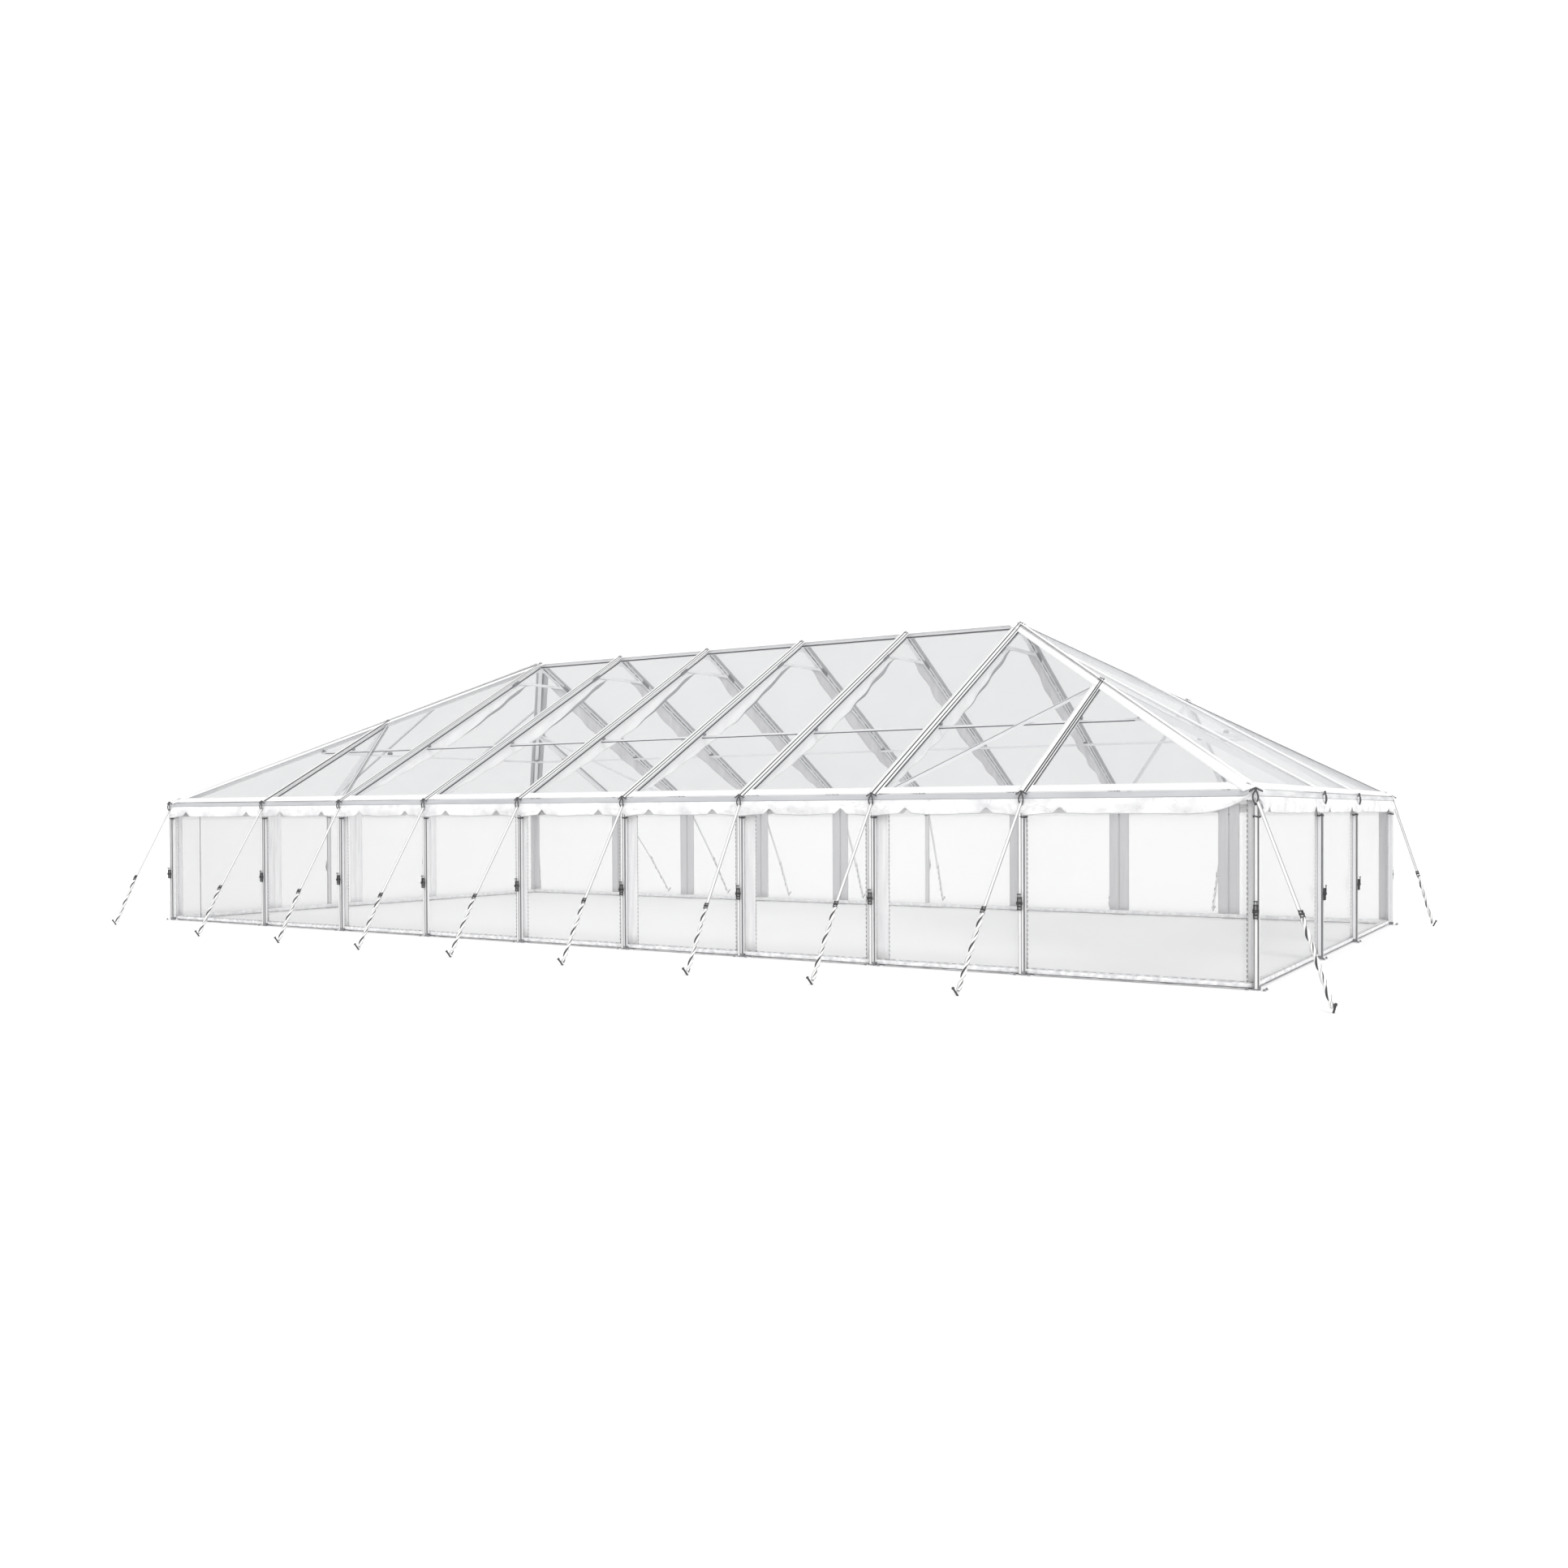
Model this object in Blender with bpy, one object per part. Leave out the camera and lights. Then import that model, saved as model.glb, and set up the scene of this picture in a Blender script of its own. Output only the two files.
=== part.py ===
"""Hip-ended frame marquee with a clear film roof, full size, for Blender 4.5.

Metres, +Z up. The tent stands on z = 0 with its centre at the origin. X runs along its length and
the long front side faces -Y. Legs carry eave beams, six ridge arches and four hip frames carry the
roof film, and a webbing guy ties every leg of the long sides to a stake.
"""
import math

import bmesh
import bpy
from mathutils import Matrix, Vector

# Driving dimensions of the tent
LENGTH = 24.4
WIDTH = 12.2
EAVE_HEIGHT = 2.75
RIDGE_HEIGHT = 6.16
END_BAY = 3.36
MIDDLE_BAYS = 7
END_POST_Y = 1.653
PURLIN_RISE = 0.395
TIE_HEIGHT = 5.61

# Sections of the frame
LEG_SIDE = 0.064
PLATE_LONG = 0.28
PLATE_WIDE = 0.20
PLATE_THICK = 0.012
BEAM_TOP = 2.712
BEAM_DEPTH = 0.12
RAFTER_WIDTH = 0.07
RAFTER_DEPTH = 0.14
HIP_WIDTH = 0.09
HIP_DEPTH = 0.1205
BRACE_WIDTH = 0.05
BRACE_DEPTH = 0.05
BRACE_DROP = 0.05
PURLIN_SIDE = 0.05
RIDGE_WIDTH = 0.08
RIDGE_DEPTH = 0.10
TIE_DEPTH = 0.06
HAUNCH_DEPTH = 0.23
JOINT_SETBACK = 0.008

# Sheets, skirts and drapes
FILM = 0.005
FILM_OVERHANG = 0.005
WALL = 0.004
WALL_TOP = 2.589
HEM_RADIUS = 0.055
HEM_SIDES = 12
VALANCE = 0.004
VALANCE_LOW = 2.405
DRAPE = 0.016
DRAPE_DEPTH = 0.62
DRAPE_INNER_END = 0.40
DRAPE_STEPS = 12
PURLIN_ROOM = 0.002

# Guys: webbing from the eave to a stake, with a ratchet on the way
GUY_TOP = 2.62
GUY_WIDTH = 0.05
GUY_UPPER = 0.009
GUY_LOWER = 0.022
RATCHET_LONG = 0.17
RATCHET_WIDE = 0.075
RATCHET_DEEP = 0.10
GUY_STAKES = ((0.10, 1.45), (0.95, 2.25), (1.05, 2.35), (0.90, 2.45), (0.75, 2.50),
              (0.70, 2.45), (0.70, 2.50), (0.36, 2.50), (0.09, 2.50), (1.25, 1.60))
FAR_CORNER_STAKE = (0.80, 0.10)
CORNER_SPLIT = 0.49
NEAR_SPLIT = 0.58
FAR_SPLIT = 0.62
NEAR_GUYS = 2
STAKE_RADIUS = 0.016
STAKE_HEIGHT = 0.26
STAKE_SIDES = 8
STAKE_HOLD = 0.17

GAP = 0.0003
MERGE = 0.0001

# Places that follow from the driving dimensions
MIDDLE_BAY = (LENGTH - 2 * END_BAY) / MIDDLE_BAYS
FRAME_X = [-LENGTH / 2]
FRAME_X += [-LENGTH / 2 + END_BAY + MIDDLE_BAY * i for i in range(MIDDLE_BAYS + 1)]
FRAME_X += [LENGTH / 2]
ARCH_X = FRAME_X[2:8]
JACK_X = FRAME_X[8]
RIDGE_END = ARCH_X[-1]
HIP_RUN = LENGTH / 2 - RIDGE_END
SIDE_PITCH = (RIDGE_HEIGHT - EAVE_HEIGHT) / (WIDTH / 2)
END_PITCH = (RIDGE_HEIGHT - EAVE_HEIGHT) / HIP_RUN
INNER_X = LENGTH / 2 - LEG_SIDE / 2 - GAP
INNER_Y = WIDTH / 2 - LEG_SIDE / 2 - GAP
OUTER_X = LENGTH / 2 + LEG_SIDE / 2
OUTER_Y = WIDTH / 2 + LEG_SIDE / 2
BEAM_LOW = BEAM_TOP - BEAM_DEPTH
PURLIN_X = LENGTH / 2 - PURLIN_RISE * HIP_RUN
PURLIN_Y = (1 - PURLIN_RISE) * WIDTH / 2


def clear_scene():
    """Remove whatever the open file holds."""
    for item in list(bpy.data.objects):
        bpy.data.objects.remove(item)


def new_collection(name):
    """Return a new collection linked to the scene."""
    collection = bpy.data.collections.new(name)
    bpy.context.scene.collection.children.link(collection)
    return collection


def make_material(name, colour, roughness, metallic=0.0, alpha=1.0):
    """Return a Principled BSDF material."""
    material = bpy.data.materials.new(name)
    material.use_nodes = True
    shader = material.node_tree.nodes["Principled BSDF"]
    shader.inputs["Base Color"].default_value = (*colour, 1.0)
    shader.inputs["Roughness"].default_value = roughness
    shader.inputs["Metallic"].default_value = metallic
    shader.inputs["Alpha"].default_value = alpha
    return material


def add_object(name, mesh, material=None, collection=None):
    """Put a mesh in the scene as a named object."""
    thing = bpy.data.objects.new(name, mesh)
    (collection or TENT).objects.link(thing)
    if material:
        thing.data.materials.append(material)
    return thing


def side_height(y):
    """Height of the long slopes' outer face at y."""
    return EAVE_HEIGHT + (WIDTH / 2 - abs(y)) * SIDE_PITCH


def end_height(x):
    """Height of the hip ends' outer face at x."""
    return EAVE_HEIGHT + (LENGTH / 2 - abs(x)) * END_PITCH


def box_into(bm, low, high):
    """Add a box between two corners."""
    low, high = Vector(low), Vector(high)
    size = high - low
    matrix = Matrix.Translation((low + high) / 2) @ Matrix.Diagonal((*size, 1.0))
    bmesh.ops.create_cube(bm, size=1.0, matrix=matrix)


def prism_into(bm, outline, top, depth):
    """Add a prism with plumb sides: a plan outline, its top surface and its plumb depth."""
    corners = [bm.verts.new((x, y, top(x, y))) for x, y in outline]
    face = bm.faces.new(corners)
    face.normal_update()
    if face.normal.z < 0:
        face.normal_flip()
    lower = bmesh.ops.extrude_face_region(bm, geom=[face])["geom"]
    moved = [item for item in lower if isinstance(item, bmesh.types.BMVert)]
    bmesh.ops.translate(bm, verts=moved, vec=(0, 0, -depth))
    bmesh.ops.recalc_face_normals(bm, faces=bm.faces[:])


def rod_into(bm, start, end, radius, sides):
    """Add a closed round bar between two points."""
    start, end = Vector(start), Vector(end)
    run = end - start
    turn = run.to_track_quat("Z", "Y").to_matrix().to_4x4()
    matrix = Matrix.Translation((start + end) / 2) @ turn
    bmesh.ops.create_cone(bm, cap_ends=True, segments=sides, radius1=radius, radius2=radius,
                          depth=run.length, matrix=matrix)


def peg_into(bm, foot, head):
    """Add a leaning stake with level ends between two plan points."""
    lean = (head - foot) / STAKE_HEIGHT
    matrix = Matrix(((1, 0, lean.x, (foot.x + head.x) / 2), (0, 1, lean.y, (foot.y + head.y) / 2),
                     (0, 0, 1, STAKE_HEIGHT / 2), (0, 0, 0, 1)))
    bmesh.ops.create_cone(bm, cap_ends=True, segments=STAKE_SIDES, radius1=STAKE_RADIUS,
                          radius2=STAKE_RADIUS, depth=STAKE_HEIGHT, matrix=matrix)


def to_mesh(bm, name):
    """Turn a bmesh into a mesh."""
    mesh = bpy.data.meshes.new(name)
    bm.to_mesh(mesh)
    bm.free()
    return mesh


def fuse(name, solids, material):
    """Join overlapping solids into one body."""
    body = add_object(name, to_mesh(solids[0], name), material)
    for number, solid in enumerate(solids[1:], 1):
        added = add_object(f"{name}_added_{number}", to_mesh(solid, name), None, CUTTERS)
        join = body.modifiers.new(f"join_{number}", "BOOLEAN")
        join.operation = "UNION"
        join.solver = "EXACT"
        join.object = added
    return body


def cut_away(body, cutter):
    """Cut the clearance of a neighbouring member out of a body."""
    cut = body.modifiers.new("clearance", "BOOLEAN")
    cut.operation = "DIFFERENCE"
    cut.solver = "EXACT"
    cut.object = cutter


def flat_outline(name, rings, thickness, x):
    """Return a mesh of an upright YZ outline, with holes, centred on x."""
    curve = bpy.data.curves.new(name + "_outline", "CURVE")
    curve.dimensions = "2D"
    curve.fill_mode = "BOTH"
    curve.extrude = thickness / 2
    for ring in rings:
        spline = curve.splines.new("POLY")
        spline.points.add(len(ring) - 1)
        for point, (y, z) in zip(spline.points, ring):
            point.co = (y, z, 0.0, 1.0)
        spline.use_cyclic_u = True
    outline = bpy.data.objects.new(name + "_outline", curve)
    CUTTERS.objects.link(outline)
    graph = bpy.context.evaluated_depsgraph_get()
    mesh = bpy.data.meshes.new_from_object(outline.evaluated_get(graph))
    bpy.data.objects.remove(outline)
    bm = bmesh.new()
    bm.from_mesh(mesh)
    bmesh.ops.remove_doubles(bm, verts=bm.verts, dist=MERGE)
    upright = Matrix(((0, 0, 1, x), (1, 0, 0, 0), (0, 1, 0, 0), (0, 0, 0, 1)))
    bmesh.ops.transform(bm, matrix=upright, verts=bm.verts)
    bm.to_mesh(mesh)
    bm.free()
    return mesh


def crossing(point, direction, line_point, line_direction):
    """Return where a plan line meets another."""
    along = direction.x * line_direction.y - direction.y * line_direction.x
    reach = line_point - point
    step = (reach.x * line_direction.y - reach.y * line_direction.x) / along
    return point + direction * step


def strip(start, end, width, start_cut=None, end_cut=None):
    """Return a bar's plan outline, each end cut along a line given as a point and a direction."""
    start, end = Vector(start), Vector(end)
    run = (end - start).normalized()
    side = Vector((-run.y, run.x))
    start_cut = start_cut or (start, side)
    end_cut = end_cut or (end, side)
    corners = []
    for offset, cuts in ((-width / 2, (start_cut, end_cut)), (width / 2, (end_cut, start_cut))):
        edge = start + side * offset
        corners += [crossing(edge, run, *cut) for cut in cuts]
    return [tuple(corner) for corner in corners]


def ramp(start, end, start_z, end_z):
    """Return a height that changes evenly along a plan line."""
    start, end = Vector(start), Vector(end)
    run = end - start

    def height(x, y):
        share = (Vector((x, y)) - start).dot(run) / run.length_squared
        return start_z + (end_z - start_z) * share

    return height


def build_leg_row(name, posts, beam_low, beam_high):
    """Build a row of legs on base plates, joined by its eave beam."""
    beam, legs, plates = bmesh.new(), bmesh.new(), bmesh.new()
    box_into(beam, (*beam_low, BEAM_LOW), (*beam_high, BEAM_TOP))
    along_x = beam_high[0] - beam_low[0] > beam_high[1] - beam_low[1]
    plate = (PLATE_LONG, PLATE_WIDE) if along_x else (PLATE_WIDE, PLATE_LONG)
    for x, y in posts:
        half = LEG_SIDE / 2
        sunk = BEAM_LOW + BEAM_DEPTH / 2
        box_into(legs, (x - half, y - half, PLATE_THICK / 2), (x + half, y + half, sunk))
        box_into(plates, (x - plate[0] / 2, y - plate[1] / 2, 0.0),
                 (x + plate[0] / 2, y + plate[1] / 2, PLATE_THICK))
    return fuse(name, [beam, legs, plates], STEEL_ALLOY)


def build_leg_rows():
    """Build the four rows of legs round the tent."""
    half = LEG_SIDE / 2
    for name, sign in (("front", -1), ("back", 1)):
        y = sign * WIDTH / 2
        posts = [(x, y) for x in FRAME_X]
        build_leg_row(name + "_leg_row", posts, (-OUTER_X, y - half), (OUTER_X, y + half))
    for name, sign in (("left", -1), ("right", 1)):
        x = sign * LENGTH / 2
        posts = [(x, -END_POST_Y), (x, END_POST_Y)]
        build_leg_row(name + "_leg_row", posts, (x - half, -INNER_Y), (x + half, INNER_Y))


def rafter_top(y):
    """Height of an arch rafter's top face at y."""
    return side_height(y) - FILM - GAP


def rafter_low(y):
    """Height of an arch rafter's underside at y."""
    return rafter_top(y) - RAFTER_DEPTH


def y_under(z):
    """Distance from the centre where a rafter's underside has height z."""
    return (rafter_low(0) - z) / SIDE_PITCH


def build_arches(ridge_room):
    """Build the arches: two rafters, the apex haunch and the collar tie in one frame."""
    haunch = RIDGE_HEIGHT - HAUNCH_DEPTH
    tie_low, tie_high = TIE_HEIGHT - TIE_DEPTH / 2, TIE_HEIGHT + TIE_DEPTH / 2
    half = [(INNER_Y, rafter_low(INNER_Y)), (INNER_Y, rafter_top(INNER_Y))]
    outer = half + [(0.0, rafter_top(0))] + [(-y, z) for y, z in reversed(half)]
    outer += [(-y_under(tie_low), tie_low), (y_under(tie_low), tie_low)]
    eye = [(y_under(tie_high), tie_high), (y_under(haunch), haunch)]
    eye += [(-y, z) for y, z in reversed(eye)]
    for number, x in enumerate(ARCH_X, 1):
        mesh = flat_outline("arch", [outer, eye], RAFTER_WIDTH, x)
        arch = add_object(f"arch_{number}", mesh, ALLOY)
        cut_away(arch, ridge_room)


def ridge_levels():
    """Return the ridge beam's top and bottom heights."""
    top = rafter_top(RIDGE_WIDTH / 2)
    return top, top - RIDGE_DEPTH


def purlin_levels():
    """Return the purlin ring's top and bottom heights, close under the rafters."""
    pitch = max(SIDE_PITCH, END_PITCH)
    line = EAVE_HEIGHT + PURLIN_RISE * (RIDGE_HEIGHT - EAVE_HEIGHT) - pitch * PURLIN_SIDE / 2
    top = line - FILM - GAP - RAFTER_DEPTH - GAP
    return top, top - PURLIN_SIDE


def build_ridge():
    """Build the ridge beam and the clearance that the arches leave for it."""
    top, low = ridge_levels()
    end = RIDGE_END + RAFTER_WIDTH / 2
    bm = bmesh.new()
    box_into(bm, (-end, -RIDGE_WIDTH / 2, low), (end, RIDGE_WIDTH / 2, top))
    add_object("ridge_beam", to_mesh(bm, "ridge_beam"), ALLOY)
    side = RIDGE_WIDTH / 2 + GAP
    bm = bmesh.new()
    box_into(bm, (-end - HIP_WIDTH, -side, low - GAP), (end + HIP_WIDTH, side, top + RIDGE_DEPTH))
    return add_object("ridge_clearance", to_mesh(bm, "ridge_clearance"), None, CUTTERS)


def build_purlins():
    """Build the ring of purlins part-way up the roof."""
    top, low = purlin_levels()
    half = PURLIN_SIDE / 2
    reach = PURLIN_X + half
    long_runs, cross_runs = bmesh.new(), bmesh.new()
    for sign in (-1, 1):
        y = sign * PURLIN_Y
        box_into(long_runs, (-reach, y - half, low), (reach, y + half, top))
        x = sign * PURLIN_X
        box_into(cross_runs, (x - half, -PURLIN_Y, low), (x + half, PURLIN_Y, top))
    fuse("purlin_ring", [long_runs, cross_runs], ALLOY)


def build_hip_frame(name, sign_x, sign_y):
    """Build a corner's hip rafter with its two jack rafters and its diagonal brace."""
    corner = Vector((LENGTH / 2, -WIDTH / 2))
    apex = Vector((RIDGE_END, 0.0))
    run = (apex - corner).normalized()
    across = Vector((-run.y, run.x))
    if across.y > 0:
        across = -across
    half = HIP_WIDTH / 2
    drop = half * max(SIDE_PITCH * abs(run.x), END_PITCH * abs(run.y)) + FILM + GAP
    foot_step = max((LEG_SIDE / 2 + GAP + half * abs(run.x)) / run.y,
                    (LEG_SIDE / 2 + GAP + half * run.y) / abs(run.x))
    clear_arch = RAFTER_WIDTH / 2 + GAP + half * run.y
    head_step = (apex - corner).length - clear_arch / abs(run.x)
    hip = strip(corner + run * foot_step, corner + run * head_step, HIP_WIDTH)
    line = ramp(corner, apex, EAVE_HEIGHT - drop, RIDGE_HEIGHT - drop)
    joint = corner + run * ((LENGTH / 2 - JACK_X) / abs(run.x))
    side_cut = (corner + across * JOINT_SETBACK, run)
    end_cut = (corner - across * JOINT_SETBACK, run)
    front_line = (Vector((0.0, -INNER_Y)), Vector((1.0, 0.0)))
    end_line = (Vector((INNER_X, 0.0)), Vector((0.0, 1.0)))

    jack = strip((JACK_X, -WIDTH / 2), (JACK_X, joint.y), RAFTER_WIDTH, front_line, side_cut)
    end_jack = strip((LENGTH / 2, -END_POST_Y), joint, RAFTER_WIDTH, end_line, end_cut)
    brace_foot = (RIDGE_END + RAFTER_WIDTH / 2 + BRACE_WIDTH, -INNER_Y)
    brace = strip(brace_foot, joint, BRACE_WIDTH, front_line, side_cut)
    members = ((hip, line, HIP_DEPTH),
               (jack, lambda x, y: side_height(y) - FILM - GAP, RAFTER_DEPTH),
               (end_jack, lambda x, y: end_height(x) - FILM - GAP, RAFTER_DEPTH),
               (brace, lambda x, y: side_height(y) - BRACE_DROP, BRACE_DEPTH))
    mirror = Matrix.Diagonal((sign_x, -sign_y, 1.0, 1.0))
    solids = []
    for outline, top, depth in members:
        solid = bmesh.new()
        prism_into(solid, outline, top, depth)
        bmesh.ops.transform(solid, matrix=mirror, verts=solid.verts)
        bmesh.ops.recalc_face_normals(solid, faces=solid.faces[:])
        solids.append(solid)
    fuse(name, solids, ALLOY)


def build_hip_frames():
    """Build the four hip frames."""
    for side, sign_y in (("front", -1), ("back", 1)):
        for end, sign_x in (("left", -1), ("right", 1)):
            build_hip_frame(f"{side}_{end}_hip_frame", sign_x, sign_y)


def build_roof_sheets():
    """Build the film of the two long slopes and the two hip ends."""
    reach = FILM_OVERHANG + LEG_SIDE / 2
    hip_step = HIP_RUN / (WIDTH / 2)
    eave_y = WIDTH / 2 + reach
    eave_x = LENGTH / 2 + reach
    for name, sign in (("front", -1), ("back", 1)):
        outline = [(-LENGTH / 2 - reach * hip_step, sign * eave_y),
                   (LENGTH / 2 + reach * hip_step, sign * eave_y),
                   (RIDGE_END, sign * GAP / 2), (-RIDGE_END, sign * GAP / 2)]
        bm = bmesh.new()
        prism_into(bm, outline, lambda x, y: side_height(y), FILM)
        add_object(name + "_roof", to_mesh(bm, name + "_roof"), FILM_SKIN)
    for name, sign in (("left", -1), ("right", 1)):
        outline = [(sign * (eave_x + GAP), -WIDTH / 2 - reach / hip_step),
                   (sign * (eave_x + GAP), WIDTH / 2 + reach / hip_step),
                   (sign * (RIDGE_END + GAP), 0.0)]
        bm = bmesh.new()
        prism_into(bm, outline, lambda x, y: end_height(abs(x) - GAP), FILM)
        add_object(name + "_roof", to_mesh(bm, name + "_roof"), FILM_SKIN)


def build_walls():
    """Build the clear side walls, each with a round bar in its bottom hem."""
    hem_z = PLATE_THICK + GAP + HEM_RADIUS
    for name, sign in (("front", -1), ("back", 1)):
        base = bmesh.new()
        y_out, y_in = sign * INNER_Y, sign * (INNER_Y - WALL)
        box_into(base, (-INNER_X, min(y_out, y_in), hem_z), (INNER_X, max(y_out, y_in), WALL_TOP))
        hem = bmesh.new()
        y = sign * (INNER_Y - HEM_RADIUS)
        end = INNER_X - WALL - GAP
        rod_into(hem, (-end, y, hem_z), (end, y, hem_z), HEM_RADIUS, HEM_SIDES)
        fuse(name + "_wall", [base, hem], CLEAR_WALL)
    for name, sign in (("left", -1), ("right", 1)):
        base = bmesh.new()
        x_out, x_in = sign * INNER_X, sign * (INNER_X - WALL)
        reach = INNER_Y - WALL - GAP
        box_into(base, (min(x_out, x_in), -reach, hem_z), (max(x_out, x_in), reach, WALL_TOP))
        hem = bmesh.new()
        x = sign * (INNER_X - HEM_RADIUS)
        end = INNER_Y - 2 * HEM_RADIUS - GAP
        rod_into(hem, (x, -end, hem_z), (x, end, hem_z), HEM_RADIUS, HEM_SIDES)
        fuse(name + "_wall", [base, hem], CLEAR_WALL)


def build_valances():
    """Build the skirts that hang outside the eave beams."""
    top = side_height(OUTER_Y + FILM_OVERHANG) - FILM - GAP
    top = min(top, end_height(OUTER_X + FILM_OVERHANG) - FILM - GAP)
    reach = OUTER_X + GAP + VALANCE
    for name, sign in (("front", -1), ("back", 1)):
        ys = sorted((sign * (OUTER_Y + GAP), sign * (OUTER_Y + GAP + VALANCE)))
        bm = bmesh.new()
        box_into(bm, (-reach, ys[0], VALANCE_LOW), (reach, ys[1], top))
        add_object(name + "_valance", to_mesh(bm, name + "_valance"), WHITE_CLOTH)
    for name, sign in (("left", -1), ("right", 1)):
        xs = sorted((sign * (OUTER_X + GAP), sign * reach))
        bm = bmesh.new()
        box_into(bm, (xs[0], -OUTER_Y, VALANCE_LOW), (xs[1], OUTER_Y, top))
        add_object(name + "_valance", to_mesh(bm, name + "_valance"), WHITE_CLOTH)


def build_drapes():
    """Build the cloth that hangs under each rafter, deep at the collar tie and narrow at the eave."""
    hang = side_height(0) - rafter_low(0) + GAP
    reach = INNER_Y - DRAPE_INNER_END
    tip = INNER_Y - reach * (hang / DRAPE_DEPTH) ** 2
    tie_low = TIE_HEIGHT - TIE_DEPTH / 2
    notch = PURLIN_SIDE / 2 + PURLIN_ROOM
    floor = purlin_levels()[1] - PURLIN_ROOM
    outline = [(DRAPE_INNER_END, tie_low - GAP), (y_under(tie_low), tie_low - GAP)]
    for y, first, second in ((PURLIN_Y - notch, rafter_low(PURLIN_Y - notch) - GAP, floor),
                             (PURLIN_Y + notch, floor, rafter_low(PURLIN_Y + notch) - GAP)):
        outline += [(y, first), (y, second)]
    for step in range(DRAPE_STEPS + 1):
        y = tip + (DRAPE_INNER_END - tip) * step / DRAPE_STEPS
        depth = DRAPE_DEPTH * math.sqrt((INNER_Y - y) / reach)
        outline.append((y, side_height(y) - depth))
    for number, x in enumerate(ARCH_X, 1):
        for side, sign in (("front", -1), ("back", 1)):
            ring = [(sign * y, z) for y, z in outline]
            name = f"{side}_drape_{number}"
            add_object(name, flat_outline(name, [ring], DRAPE, x), WHITE_CLOTH)


def build_guy(name, start, stake, share):
    """Build a guy: webbing, its ratchet at a share of the way, and the stake that it hooks on."""
    start, stake = Vector(start), Vector(stake)
    cut = (start, Vector((1.0, 0.0)))
    if abs(start.x) > OUTER_X:
        cut = (start, Vector((0.0, 1.0)))
    line = ramp(start, stake, GUY_TOP, STAKE_HOLD)
    split = start.lerp(stake, share)
    run = (stake - start).normalized()
    wrap = (GUY_LOWER - GUY_UPPER) / 2
    body = RATCHET_DEEP / 2
    half = RATCHET_LONG / 2
    upper, lower, ratchet, peg = (bmesh.new() for _ in range(4))
    prism_into(upper, strip(start, split, GUY_WIDTH, cut), line, GUY_UPPER)
    prism_into(lower, strip(split - run * wrap, stake, GUY_WIDTH),
               lambda x, y: line(x, y) + wrap, GUY_LOWER)
    prism_into(ratchet, strip(split - run * half, split + run * half, RATCHET_WIDE),
               lambda x, y: line(x, y) + body, RATCHET_DEEP)
    peg_into(peg, stake - run * STAKE_RADIUS, stake + run * STAKE_RADIUS)
    fuse(name, [upper, ratchet, lower, peg], WHITE_WEBBING)


def build_guys():
    """Build the guys of both long sides, corner guys included."""
    y_start = OUTER_Y + VALANCE + 2 * GAP
    x_start = OUTER_X + VALANCE + 2 * GAP
    shares = [FAR_SPLIT] * (len(FRAME_X) - NEAR_GUYS - 1) + [NEAR_SPLIT] * NEAR_GUYS
    shares += [CORNER_SPLIT]
    for side, turn in (("front", 1), ("back", -1)):
        for number, (x, offset, share) in enumerate(zip(FRAME_X, GUY_STAKES, shares), 1):
            start = Vector((x, -y_start)) * turn
            stake = Vector((x + offset[0], -WIDTH / 2 - offset[1])) * turn
            if side == "front" or number > 1:
                build_guy(f"{side}_guy_{number}", start, stake, share)
    start = Vector((x_start, WIDTH / 2))
    stake = Vector((LENGTH / 2 + FAR_CORNER_STAKE[0], WIDTH / 2 + FAR_CORNER_STAKE[1]))
    build_guy("back_guy_1", start, stake, FAR_SPLIT)


clear_scene()
TENT = new_collection("marquee_tent")
CUTTERS = new_collection("cutters")
STEEL_ALLOY = make_material("leg_alloy", (0.74, 0.75, 0.76), 0.42, 0.9)
ALLOY = make_material("frame_alloy", (0.80, 0.81, 0.82), 0.38, 0.9)
FILM_SKIN = make_material("roof_film", (0.80, 0.83, 0.85), 0.18, 0.0, 0.35)
CLEAR_WALL = make_material("wall_film", (0.90, 0.91, 0.92), 0.15, 0.0, 0.35)
WHITE_CLOTH = make_material("white_cloth", (0.88, 0.88, 0.88), 0.75)
WHITE_WEBBING = make_material("webbing", (0.82, 0.82, 0.81), 0.8)

build_leg_rows()
build_purlins()
build_arches(build_ridge())
build_hip_frames()
build_roof_sheets()
build_walls()
build_valances()
build_drapes()
build_guys()

CUTTERS.hide_render = True
for cutter in CUTTERS.objects:
    cutter.hide_render = True
    cutter.display_type = "WIRE"
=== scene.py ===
"""The looks of a hip-ended frame marquee with a clear film roof, full size, for Blender 4.5.

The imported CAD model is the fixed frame. This file gives its alloy members their finish and builds the
film, cloth, webbing, rope and small fittings around them, in the order in which the tent is put up.
"""

import math

import bmesh
import bpy
from mathutils import Matrix, Vector, noise


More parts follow.
